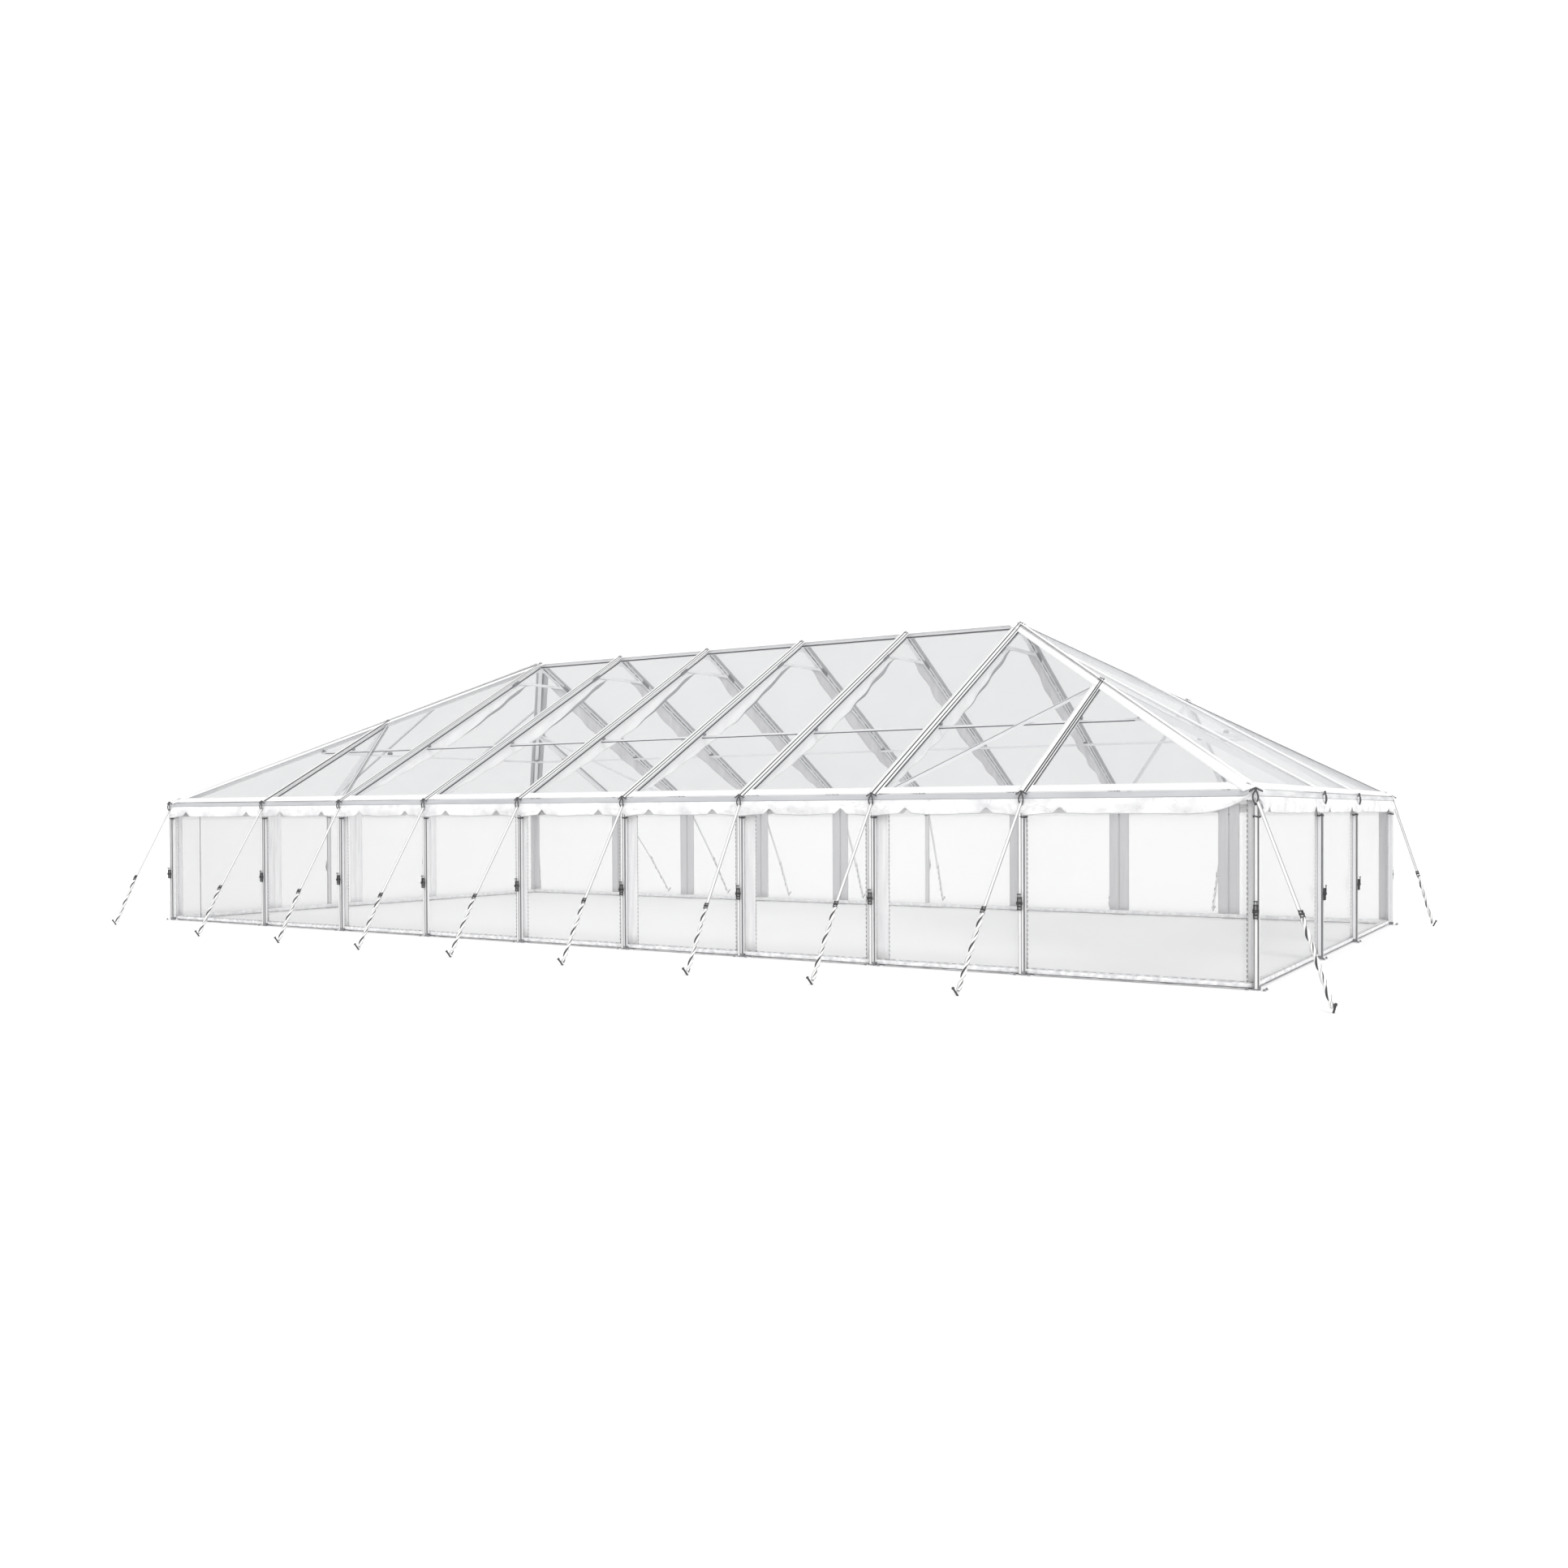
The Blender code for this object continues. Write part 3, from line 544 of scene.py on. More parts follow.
# The back rafters' strips are patchy painted shade: dark grey in patches and mid grey between.
rear_finish = Finish("dusty_groove")
gaps = rear_finish.grain(9.0, detail=2.0) > 0.52
dusty_groove = rear_finish.surface(
    Base_Color=rear_finish.blend(gaps, (0.13, 0.13, 0.135), (0.52, 0.52, 0.53)), Roughness=0.6)
side_grooves, rear_grooves, edge_grooves = [], [], []
for sign in (-1, 1):
    for x in ARCHES + JACKS * (sign < 0):
        head = GROOVE_HEAD if x in ARCHES else hip_y(x) + GROOVE_HEAD
        for face in (-1, 1):
            shift = Vector((face * RAFTER_HALF, 0, 0))
            ends = [on_side(x, sign * y, -GROOVE_DROP) + shift for y in (GROOVE_FOOT, head)]
            (side_grooves if sign < 0 else rear_grooves).append((ends, (face, 0, 0)))
    low, high = (Vector((sign * x, y, 0)) for x, y in (BRACE_LOW, BRACE_HIGH))
    run = (high - low).normalized()
    for side in (Vector((run.y, -run.x, 0)), Vector((-run.y, run.x, 0))):
        for drop in BRACE_DROPS:
            ends = [on_side(spot.x, spot.y, -drop) + side * BRACE_HALF for spot in (low, high)]
            edge_grooves.append((ends, side))
    for found, reach, y, z in (
            (side_grooves, ARCHES[-1] - RIDGE_SHORT, sign * RIDGE_HALF, RIDGE_GROOVE),
            (edge_grooves, PURLIN_X - PURLIN_SHORT, sign * PURLIN_HALF - PURLIN_Y, PURLIN_GROOVE)):
        found.append(([Vector((end * reach, y, z)) for end in (-1, 1)], (0, sign, 0)))
for name, paths, finish, wide in (("side_grooves", side_grooves, shade_and_cord_dark, GROOVE_WIDE),
                                  ("rear_grooves", rear_grooves, dusty_groove, GROOVE_WIDE),
                                  ("edge_grooves", edge_grooves, shade_and_cord_dark, EDGE_WIDE)):
    strips(name, paths, "frame_alloy", finish, wide, GROOVE_DEEP)


# Roof film: clear sheet welded into one skin for each slope and pulled tight over the frame. It
# dips a little between the rafters and has faint ripples that run down from the ridge.
FILM = 0.0018
FILM_LIFT = -0.0025
SAG, RIPPLE = 0.022, 0.004
CALM_EDGE = 0.8
FILM_GRID = 0.30
EAVE_REACH, EAVE_ROOM = 0.037, 0.0005
EAVE_X, EAVE_Y = LENGTH / 2 + EAVE_REACH, WIDTH / 2 + EAVE_REACH


def sag(u, stops, rise):
    """How far the film dips at u, between the supports beside it, and at a share of the rise."""
    for low, high in zip(stops, stops[1:]):
        if low <= u <= high:
            return SAG * math.sin(math.pi * (u - low) / (high - low)) ** 2 * math.sin(math.pi * rise) ** 0.6
    return 0.0


def film_sheet(side, sign, along_end, stops, half, run, pitch, place, finish):
    """A slope of film: a grid cut to the hips, dipped between its supports."""
    bm = bmesh.new()
    across = round(2 * half / FILM_GRID)
    up = round(run / FILM_GRID)
    bmesh.ops.create_grid(bm, x_segments=across, y_segments=up, size=0.5)
    for vert in bm.verts:
        vert.co = Vector((vert.co.x * 2 * half, (vert.co.y + 0.5) * run, 0))
    for end in (-1, 1):
        foot, head = Vector((end * half, 0, 0)), Vector((end * along_end, run, 0))
        out = Vector((end * (head - foot).y, -end * (head - foot).x, 0))
        bmesh.ops.bisect_plane(bm, geom=bm.verts[:] + bm.edges[:] + bm.faces[:], dist=0.0001,
                               plane_co=foot, plane_no=out, clear_outer=True)
    charts = bm.loops.layers.uv.new("UVMap")
    for face in bm.faces:
        for loop in face.loops:
            loop[charts].uv = (loop.vert.co.x, loop.vert.co.y * math.hypot(1, pitch))
    for vert in bm.verts:
        u, inward = vert.co.x, vert.co.y
        edge = half + (along_end - half) * inward / run - abs(u)
        near = min(1.0, max(0.0, edge) / CALM_EDGE)
        rise = min(1.0, max(0.0, inward / run))
        ripple = RIPPLE * noise.noise(Vector((u * 1.7, inward * 0.35, sign * 7.0))) * near
        dip = sag(u, stops, rise) * near
        vert.co = place(u, inward, FILM_LIFT - dip + ripple * math.sin(math.pi * rise))
    bm.normal_update()
    if sum(face.normal.z for face in bm.faces) < 0:
        bmesh.ops.reverse_faces(bm, faces=bm.faces)
    mesh = meshed(side, bm, finish)
    return thickened(placed(side + "_roof_sheet", mesh, "roof_film", side + "_roof"), FILM)


def thickened(piece, thickness):
    """Give a sheet its real thickness, the same on both sides of its middle."""
    solid = piece.modifiers.new("thickness", "SOLIDIFY")
    solid.thickness = thickness
    solid.offset = 0.0
    for face in piece.data.polygons:
        face.use_smooth = True
    return piece


def film_finish(name, dark, light, clear, cloudy):
    """Clear film with a patchy cloudiness, which also paints patchy reflections: its two tones, and its
    cover where clear and where cloudy.
    """
    film = Finish(name)
    haze_and_glare = film.grain(0.35, (1.0, 1.0, 1.0), detail=6.0, rough=0.62)
    ripples = film.grain(3.0, (1.0, 0.25, 0.25), detail=4.0)
    return film.surface(
        Base_Color=film.blend(haze_and_glare, dark, light),
        Roughness=0.09 + haze_and_glare * 0.10, Alpha=clear + haze_and_glare * (cloudy - clear),
        Normal=film.bump(ripples, 0.25, 0.02))


# One film in three painted copies: the front slope's is the lit one, the back and left slopes take a darker,
# more opaque copy as painted shade, and the right end takes a paler, more opaque copy as the painted white
# sheen of its film at a glancing view.
lit_roof_film = film_finish("roof_film", (0.40, 0.42, 0.455), (0.54, 0.56, 0.585), 0.032, 0.080)
shaded_film = film_finish("shaded_film", (0.26, 0.28, 0.305), (0.40, 0.42, 0.445), 0.10, 0.19)
milky_film = film_finish("milky_film", (0.53, 0.545, 0.57), (0.75, 0.76, 0.775), 0.24, 0.40)
for side, sign, finish in (("front", -1, lit_roof_film), ("back", 1, shaded_film)):
    film_sheet(
        side, sign, ARCHES[-1], FRAME_X, EAVE_X, EAVE_Y, SIDE_PITCH,
        lambda u, v, lift: on_side(u, sign * (EAVE_Y - v - EAVE_ROOM), lift), finish)
for side, sign, finish in (("left", -1, shaded_film), ("right", 1, milky_film)):
    film_sheet(
        side, sign, 0.0, END_LINE, EAVE_Y, HIP_RUN + EAVE_REACH, END_PITCH,
        lambda u, v, lift: on_end(sign * (EAVE_X - v), u, lift), finish)


# Welded bands of the roof: opaque white vinyl over every rafter, jack and hip, along the ridge and
# round the eaves, where the clear film is joined and takes the strain. They lie flat on the film.
BAND = 0.003
RAFTER_BAND, JACK_BAND, HIP_BAND, RIDGE_BAND, EAVE_BAND = 0.21, 0.18, 0.19, 0.08, 0.205
EAVE_LIFT, RAFTER_LIFT, RIDGE_LIFT, HIP_LIFT = 0.002, 0.004, 0.006, 0.008
RAFTER_HEAD, HIP_HEAD_SIDE, HIP_HEAD_END = 0.02, 0.03, 0.06
INTO_SIDE, INTO_END = 0.66, 0.64
RAIL_WIDE, RAIL_HIGH = 0.055, 0.040

vinyl = Finish("white_vinyl")
soil = vinyl.grain(1.6, detail=6.0, rough=0.6)
white_vinyl = vinyl.surface(
    Base_Color=vinyl.blend(soil, (0.84, 0.84, 0.85), (0.96, 0.96, 0.96)),
    Roughness=0.40 + soil * 0.15,
    Normal=vinyl.bump(vinyl.twill(160.0, 0.4) * 0.3 + vinyl.grain(9.0, detail=4.0), 0.20, 0.004))

rafter_lines, ridge_lines, jack_lines, hip_lines, eave_lines, rail_lines = [], [], [], [], [], []
for sign in (-1, 1):
    up, foot = SIDE_UP[sign], sign * EAVE_Y
    for found, xs in ((rafter_lines, ARCHES), (jack_lines, JACKS)):
        for x in xs:
            head = sign * (RAFTER_HEAD if x in ARCHES else hip_y(x))
            found.append(([on_side(x, y, RAFTER_LIFT) for y in (foot, head)], up))
    for y in END_POSTS:
        head = sign * (LENGTH / 2 - HIP_RUN * (1 - abs(y) / (WIDTH / 2)))
        rail_lines.append(([on_end(x, y, RAIL_HIGH / 2) for x in (sign * EAVE_X, head)], END_UP[sign]))
    ridge_lines.append(([on_side(end * ARCHES[-1], sign * RIDGE_BAND / 2, RIDGE_LIFT)
                         for end in (-1, 1)], up))
    middle_x, middle_y = EAVE_X - EAVE_BAND / 2, EAVE_Y - EAVE_BAND / 2
    eave_lines.append(([on_side(end * middle_x, sign * middle_y, EAVE_LIFT) for end in (-1, 1)], up))
    eave_lines.append(([on_end(sign * middle_x, end * middle_y, EAVE_LIFT) for end in (-1, 1)],
                       END_UP[sign]))
    for end in (-1, 1):
        peak = Vector((end * ARCHES[-1], 0, 0))
        corner = Vector((end * EAVE_X, sign * EAVE_Y, 0))
        into_side = Vector((-end, 0, 0)) * HIP_BAND * INTO_SIDE
        into_end = Vector((0, -sign, 0)) * HIP_BAND * INTO_END
        a, b = corner + into_side, peak + into_side
        hip_lines.append(([on_side(a.x, a.y, HIP_LIFT),
                           on_side(b.x, b.y + sign * HIP_HEAD_SIDE, HIP_LIFT)], up))
        a, b = corner + into_end, peak + into_end
        hip_lines.append(([on_end(a.x, a.y, HIP_LIFT),
                           on_end(b.x + end * HIP_HEAD_END, sign * HIP_HEAD_END, HIP_LIFT)], END_UP[end]))
for name, paths, wide in (("rafter_bands", rafter_lines, RAFTER_BAND), ("jack_bands", jack_lines, JACK_BAND),
                          ("hip_bands", hip_lines, HIP_BAND), ("ridge_bands", ridge_lines, RIDGE_BAND),
                          ("eave_bands", eave_lines, EAVE_BAND)):
    strips(name, paths, "white_cloth", white_vinyl, wide, BAND)
strips("end_rails", rail_lines, "white_cloth", white_vinyl, RAIL_WIDE, RAIL_HIGH)


# Keder beads of the roof: a dark cord in a sleeve runs up both sides of every rafter band, where
# the film slides into the extrusion below. Their near-black colour is partly the cord's own and partly
# painted shade of the rafter's side below the band.
BEAD_WIDE, BEAD_THICK, BEAD_LIFT = 0.022, 0.008, 0.004
RAFTER_BEADS, JACK_BEADS = (-0.018, 0.066), (0.022, 0.066)
beads = []
for paths, offsets in ((rafter_lines, RAFTER_BEADS), (jack_lines, JACK_BEADS)):
    for path, face in paths:
        side = (path[1] - path[0]).normalized().cross(face)
        if side.x < 0:
            side = -side
        beads += [([point + side * offset + face * BEAD_LIFT for point in path], face)
                  for offset in offsets]
strips("roof_beads", beads, "frame_alloy", shade_and_cord_dark, BEAD_WIDE, BEAD_THICK)


# Valance: a skirt of white cloth round the eaves. Its top band lies flat on the eave beam, it is
# gathered round every post, and it is slit a little way off on both sides of the post.
VALANCE_TOP = 2.722
VALANCE_FLAT = 2.636
VALANCE_LOW = 2.415
VALANCE_OUT = 0.0343
VALANCE_CLOTH = 0.003
FLAT_SHARE = 0.37
VALANCE_STEP = 0.035
SLIT_AWAY, SLIT_HALF, SLIT_RISE = 0.58, 0.11, 0.10
GATHER_REACH, GATHER_DROP = 0.50, 0.028
CORNER_FROM, CORNER_SPAN, CORNER_RISE = 11.2, 0.917, 0.25
EDGE_WAVE, EDGE_SWAG = 0.012, 0.014
BILLOW, LONG_WAVE, CREASE, BUNCH = 0.016, 0.014, 0.030, 0.030
SKIRT_LAP, SKIRT_PAST_LONG, SKIRT_PAST_SHORT = 0.04, 0.004, -0.0005


def ease(t):
    t = min(1.0, max(0.0, t))
    return t * t * (3 - 2 * t)


def valance_edge(u, posts, seed):
    """Height of the skirt's lower edge at u along the side."""
    low = VALANCE_LOW + EDGE_WAVE * noise.noise(Vector((u * 2.1, seed, 0)))
    away = min(abs(u - post) for post in posts)
    low -= GATHER_DROP * (1 - ease(away / GATHER_REACH))
    if u < LENGTH / 2 - 1.5 or seed:
        low += SLIT_RISE * max(0.0, 1 - abs(away - SLIT_AWAY) / SLIT_HALF)
    elif u > CORNER_FROM:
        return VALANCE_LOW - 0.02 + CORNER_RISE * ((u - CORNER_FROM) / CORNER_SPAN) ** 2.6
    if away > SLIT_AWAY:
        low -= EDGE_SWAG * ease((away - SLIT_AWAY) / 0.6)
    return low


def valance_fold(u, drop, posts, seed):
    """How far the skirt stands out at u, and a share of the way down its hanging part."""
    away = min(abs(u - post) for post in posts)
    gather = 1 - ease(away / (GATHER_REACH + 0.15))
    long_wave = LONG_WAVE * noise.noise(Vector((u * 1.3, drop * 1.4, seed)))
    crease = CREASE * noise.noise(Vector((u * 4.5, drop * 5.0 + u * 1.5, seed + 3))) * (0.35 + gather)
    bunch = BUNCH * gather * math.sin(drop * math.pi * 0.8) * abs(math.sin(away * 24.0 + drop * 3.0 + seed))
    return (BILLOW * math.sin(drop * math.pi) + long_wave + crease + bunch) * ease(drop * 2.5)


def cloth(name, columns, rows, place, finish, thickness, slot, *stands_for):
    """A sheet of cloth: a grid of columns and rows, with a UV map in metres of cloth."""
    bm = bmesh.new()
    grid = [[bm.verts.new(place(u, v)) for v in rows] for u in columns]
    charts = bm.loops.layers.uv.new("UVMap")
    for i in range(len(columns) - 1):
        for j in range(len(rows) - 1):
            corners = ((i, j), (i + 1, j), (i + 1, j + 1), (i, j + 1))
            face = bm.faces.new([grid[a][b] for a, b in corners])
            for loop, (a, b) in zip(face.loops, corners):
                loop[charts].uv = (columns[a], rows[b])
    return thickened(placed(name, meshed(name, bm, finish), slot, *stands_for), thickness)


def outward(sign, long_side, reach, step):
    """Columns along a side, about a step apart, in the order that turns its faces outwards."""
    columns = even(-reach, reach, round(2 * reach / step))
    return columns[::-1] if (sign > 0) == long_side else columns


skirt = Finish("valance_cloth")
down = skirt.chart("Y")
flat_part = down < 0.36
seam = (down > 0.335) * (down < 0.375)
# Painted shade on the hanging part: its tone follows this noise in broad patches, and thin dark crease lines
# of painted shade run where the next noise crosses its middle; the dark line at the very foot is the hem's
# edge cord.
tone = skirt.grain(2.5, detail=6.0)
plain = skirt.blend(tone * 2.4 - 0.6, (0.64, 0.64, 0.655), (0.96, 0.96, 0.96))
ridge = skirt.maths("ABSOLUTE", skirt.grain(2.6, (1.0, 1.0, 2.2), detail=2.5) - 0.5)
crease_shade_and_hem_line = skirt.maths("MAXIMUM", (ridge < 0.006) * 0.22, (down > 0.975) * 0.55)
plain = skirt.blend(crease_shade_and_hem_line, plain, (0.36, 0.36, 0.37))
# The flat top band is grey with upright streaks: partly the eave beam seen through the cloth and partly
# painted shade under the eave band; it is paler along the two ends.
ends = skirt.maths("ABSOLUTE", skirt.axis("X")) > 12.1
eave_shade_streaks = skirt.grain(1.2, (1.0, 1.0, 6.0), detail=6.0)
grey = skirt.blend(eave_shade_streaks, (0.40, 0.41, 0.43), (0.62, 0.625, 0.64))
pale = skirt.blend(eave_shade_streaks * 2.0 - 0.5, (0.46, 0.465, 0.48), (0.84, 0.84, 0.845))
toned = skirt.blend(flat_part, plain, skirt.blend(ends, grey, pale))
valance_cloth = skirt.surface(
    Base_Color=skirt.blend(seam, toned, (0.28, 0.285, 0.30)), Roughness=0.5 + tone * 0.15,
    Normal=skirt.bump(skirt.grain(14.0, detail=5.0), 0.3, 0.006))

HANG_ROWS = 9
SKIRT_ROWS = [0.0, 0.17, 0.34] + even(FLAT_SHARE, 1.0, HANG_ROWS)
SKIRT_SEEDS = {"front": 0.0, "back": 11.0, "left": 23.0, "right": 37.0}
for side, sign, long_side, half, beyond, posts in SIDES:
    reach = half + LEG_HALF + (SKIRT_PAST_LONG if long_side else SKIRT_PAST_SHORT)
    seed = SKIRT_SEEDS[side]

    def skirt_place(u, v):
        low = valance_edge(u, posts, seed)
        top_part = min(v, FLAT_SHARE) / FLAT_SHARE
        drop = max(0.0, v - FLAT_SHARE) / (1 - FLAT_SHARE)
        flat_low = VALANCE_FLAT + max(0.0, low - VALANCE_FLAT + SKIRT_LAP)
        z = VALANCE_TOP + (flat_low - VALANCE_TOP) * top_part + (low - flat_low) * drop
        out = sign * (beyond + VALANCE_OUT + valance_fold(u, drop, posts, seed))
        return (u, out, z) if long_side else (out, u, z)

    cloth(side + "_valance_skirt", outward(sign, long_side, reach, VALANCE_STEP),
                           SKIRT_ROWS, skirt_place, valance_cloth, VALANCE_CLOTH, "white_cloth",
                           side + "_valance")


# Side walls: one long sheet of clear film on each side, hung from the eave and held at the foot by
# a pole in a hem. The sheet hangs nearly flat and has soft vertical waves between the posts.
WALL_TOP, WALL_FOOT = 2.589, 0.0673
WALL_IN = 0.0343
WALL_FILM = 0.0012
WALL_STEP = 0.16
WALL_WAVE, STILL_END, END_ROOM = 0.010, 0.3, 0.005
wall_clear = Finish("wall_film")
mist = wall_clear.grain(0.5, (1.0, 1.0, 0.6), detail=5.0)
along = wall_clear.axis("X")
# The right end wall and the long walls towards the left end take a darker tone.
darker_part = wall_clear.maths("MAXIMUM", along > 12.0, along * -0.11 - 0.2)
side_tone = wall_clear.blend(mist, (0.64, 0.64, 0.65), (0.80, 0.80, 0.805))
darker_tone = wall_clear.blend(mist, (0.44, 0.44, 0.45), (0.62, 0.62, 0.625))
clear_wall = wall_clear.surface(
    Base_Color=wall_clear.blend(darker_part, side_tone, darker_tone),
    Roughness=0.10 + mist * 0.12, Alpha=0.13 + mist * 0.07,
    Normal=wall_clear.bump(wall_clear.grain(2.0, (1.0, 1.0, 0.12), detail=3.0), 0.25, 0.02))

WALL_SEEDS = {"front": 3.0, "back": 17.0, "left": 29.0, "right": 41.0}
for side, sign, long_side, half, beyond, posts in SIDES:
    reach = half - WALL_IN - (0.0 if long_side else END_ROOM)
    seed = WALL_SEEDS[side]

    def wall_place(u, v):
        middle = math.sin(math.pi * (v - WALL_FOOT) / (WALL_TOP - WALL_FOOT))
        wave = WALL_WAVE * (0.5 + 0.5 * noise.noise(Vector((u * 1.6, v * 0.3, seed)))) * middle
        near_end = ease((reach - abs(u)) / STILL_END)
        out = sign * (beyond - WALL_IN - wave * near_end)
        return (u, out, v) if long_side else (out, u, v)

    cloth(side + "_wall_sheet", outward(sign, long_side, reach, WALL_STEP),
                        even(WALL_FOOT, WALL_TOP, 10), wall_place, clear_wall, WALL_FILM, "wall_film",
                        side + "_wall")


# Wall margins: the clear panels end in strips of opaque white vinyl beside the posts, laced through
# eyelets along their outer edge. The widths at each post follow the photograph.
MARGIN_THICK = 0.0025
MARGIN_IN, MARGIN_STEP, MARGIN_FOLD = 0.047, 0.03, 0.012
FRONT_MARGINS = ((0, 0.0, 0.15), (2, 0.15, 0.15), (4, 0.15, 0.15), (5, 0.15, 0.26), (6, 0.15, 0.26),
                 (7, 0.16, 0.26), (9, 0.14, 0.0), (1, 0.0, 0.06), (8, 0.0, 0.05))
BACK_MARGINS = tuple((i, 0.23 * (i > 0), 0.23 * (i < 9)) for i in (0, 1, 2, 3, 4, 6, 7, 8, 9))
LEFT_JOINTS, LEFT_HALF = (-3.37, -0.83, 1.79), 0.20
MARGIN_LOW, MARGIN_HIGH, MARGIN_ROWS = 0.11, 2.585, 12
POST_GAP = 0.012
RIGHT_MARGINS = ((-0.20, -POST_GAP), (POST_GAP, 0.16))
CORNER_EDGE, CORNER_MARGIN = WIDTH / 2 - 0.07, 0.15

# The margins along the back take a darker copy as painted shade, and on every margin the tone follows the
# fold noise, painting shade in the folds.
margin = Finish("margin_vinyl")
streak = margin.grain(3.0, (6.0, 6.0, 0.35), detail=6.0, rough=0.6)
near_tone = margin.blend(streak * 2.4 - 0.6, (0.74, 0.74, 0.76), (1.0, 1.0, 1.0))
rear_shade_tone = margin.blend(streak, (0.46, 0.46, 0.48), (0.66, 0.66, 0.67))
margin_vinyl = margin.surface(
    Base_Color=margin.blend(margin.axis("Y") > 5.0, near_tone, rear_shade_tone),
    Roughness=0.5, Normal=margin.bump(streak, 0.5, 0.02))

margin_spans = []
for sign, entries in ((-1, FRONT_MARGINS), (1, BACK_MARGINS)):
    for post, left, right in entries:
        if left:
            margin_spans.append((sign, FRAME_X[post] - left, FRAME_X[post] - POST_GAP))
        if right:
            margin_spans.append((sign, FRAME_X[post] + POST_GAP, FRAME_X[post] + right))
edge_of = LENGTH / 2 - WALL_IN - POST_GAP
end_spans = [(1, y + a, y + b) for y in END_POSTS for a, b in RIGHT_MARGINS]
end_spans += [(-1, y, y + wide) for y in LEFT_JOINTS for wide in (-LEFT_HALF, LEFT_HALF)]
end_spans += [(end, s * CORNER_EDGE, s * (CORNER_EDGE - CORNER_MARGIN)) for end in (-1, 1) for s in (-1, 1)]
end_spans = [(end, min(a, b), max(a, b)) for end, a, b in end_spans]


def margin_mesh(spans):
    """Upright strips of vinyl with soft folds, each a grid of its own."""
    bm = bmesh.new()
    for number, (long_side, sign, low, high) in enumerate(spans):
        if long_side:
            low, high = max(low, -edge_of), min(high, edge_of)
        across = max(3, round((high - low) / MARGIN_STEP))
        beyond = (WIDTH if long_side else LENGTH) / 2 - MARGIN_IN
        grid = []
        for u in even(low, high, across):
            column = []
            for z in even(MARGIN_LOW, MARGIN_HIGH, MARGIN_ROWS):
                fold = MARGIN_FOLD * noise.noise(Vector((u * 14.0, z * 0.7, number * 3.1)))
                out = sign * (beyond + (fold - MARGIN_FOLD) * 0.5)
                column.append(bm.verts.new((u, out, z) if long_side else (out, u, z)))
            grid.append(column)
        for i in range(across):
            for j in range(MARGIN_ROWS):
                ring = [grid[i][j], grid[i + 1][j], grid[i + 1][j + 1], grid[i][j + 1]]
                bm.faces.new(ring[::-1] if (sign > 0) == long_side else ring)
    return meshed("margins", bm, margin_vinyl)


margins = thickened(placed("wall_margins", margin_mesh(
    [(True, *span) for span in margin_spans] + [(False, *span) for span in end_spans]), "white_cloth"),
    MARGIN_THICK)

LACING = {"Long": 0.045, "Gap": 0.070, "Wide": 0.010, "Thick": 0.003}
LACING_OUT = 0.004
stitch = Growth("stitches_along_lines", Long="Float", Gap="Float", Wide="Float", Thick="Float")
curve = stitch.node("GeometryNodeMeshToCurve", {}, {"Mesh": stitch.given["Host"]})
curve = stitch.node("GeometryNodeResampleCurve", {"mode": "LENGTH"},
                    {"Curve": curve, "Length": stitch.given["Gap"]})
size = stitch.node("ShaderNodeCombineXYZ", {}, {"X": stitch.given["Long"], "Y": stitch.given["Wide"],
                                                "Z": stitch.given["Thick"]})
thread = stitch.node("GeometryNodeMeshCube", {}, {"Size": size})
stitch.repeat(curve, thread, stitch.node("GeometryNodeInputTangent", {}, {}))

seams = []
for sign, low, high in margin_spans:
    post = min(FRAME_X, key=lambda x: abs(x - (low + high) / 2))
    edge = low if low < post - 0.05 else high
    y = sign * (WIDTH / 2 - MARGIN_IN + LACING_OUT)
    seams.append(([Vector((edge, y, z)) for z in (MARGIN_LOW, MARGIN_HIGH)], (0, sign, 0)))
for end, low, high in end_spans:
    middle = (low + high) / 2
    post = min(END_LINE, key=lambda y: abs(y - middle))
    edge = low if middle < post else high
    if end < 0 and abs(middle) < 5:
        edge = min(low, high, key=lambda y: min(abs(y - joint) for joint in LEFT_JOINTS))
    x = end * (LENGTH / 2 - MARGIN_IN + LACING_OUT)
    seams.append(([Vector((x, edge, z)) for z in (MARGIN_LOW, MARGIN_HIGH)], (end, 0, 0)))
grown("margin_lacing", stitch, lines(seams), "white_cloth", **LACING, Finish=shade_and_cord_dark)


# Zip of the way in: a dark coil zip from the hem to the eave in the front wall's first bay, with a
# puller near the foot. It lies on the film.
ZIP_X, ZIP_WIDE, ZIP_THICK = -11.195, 0.022, 0.002
ZIP_LOW, ZIP_HIGH, ZIP_OUT = 0.10, 2.40, 0.0035
ZIP_TEETH = 190
PULLER_UP = 0.08
FORWARD = Vector((0, -1, 0))
zip_line = [Vector((ZIP_X, -WIDTH / 2 + WALL_IN - ZIP_OUT, z)) for z in (ZIP_LOW, ZIP_HIGH)]
strips("wall_zip", [(zip_line, FORWARD)], "white_cloth", zinc_steel, ZIP_WIDE, ZIP_THICK)
tooth = bmesh.new()
block(tooth, (-0.0035, -0.0055, 0.0012), (0.0035, 0.0055, 0.0035), 0.001)
fitted("zip_teeth", tooth, [(spot, FORWARD, UP) for spot in steps(*zip_line, ZIP_TEETH)], "white_cloth",
       zinc_steel)
puller = bmesh.new()
block(puller, (-0.012, -0.009, 0.0012), (0.012, 0.009, 0.0070), 0.002)
block(puller, (-0.050, -0.005, 0.0072), (-0.006, 0.005, 0.0095), 0.001)
fitted("zip_puller", puller, [(zip_line[0] + UP * PULLER_UP, FORWARD, UP)], "white_cloth", zinc_steel)


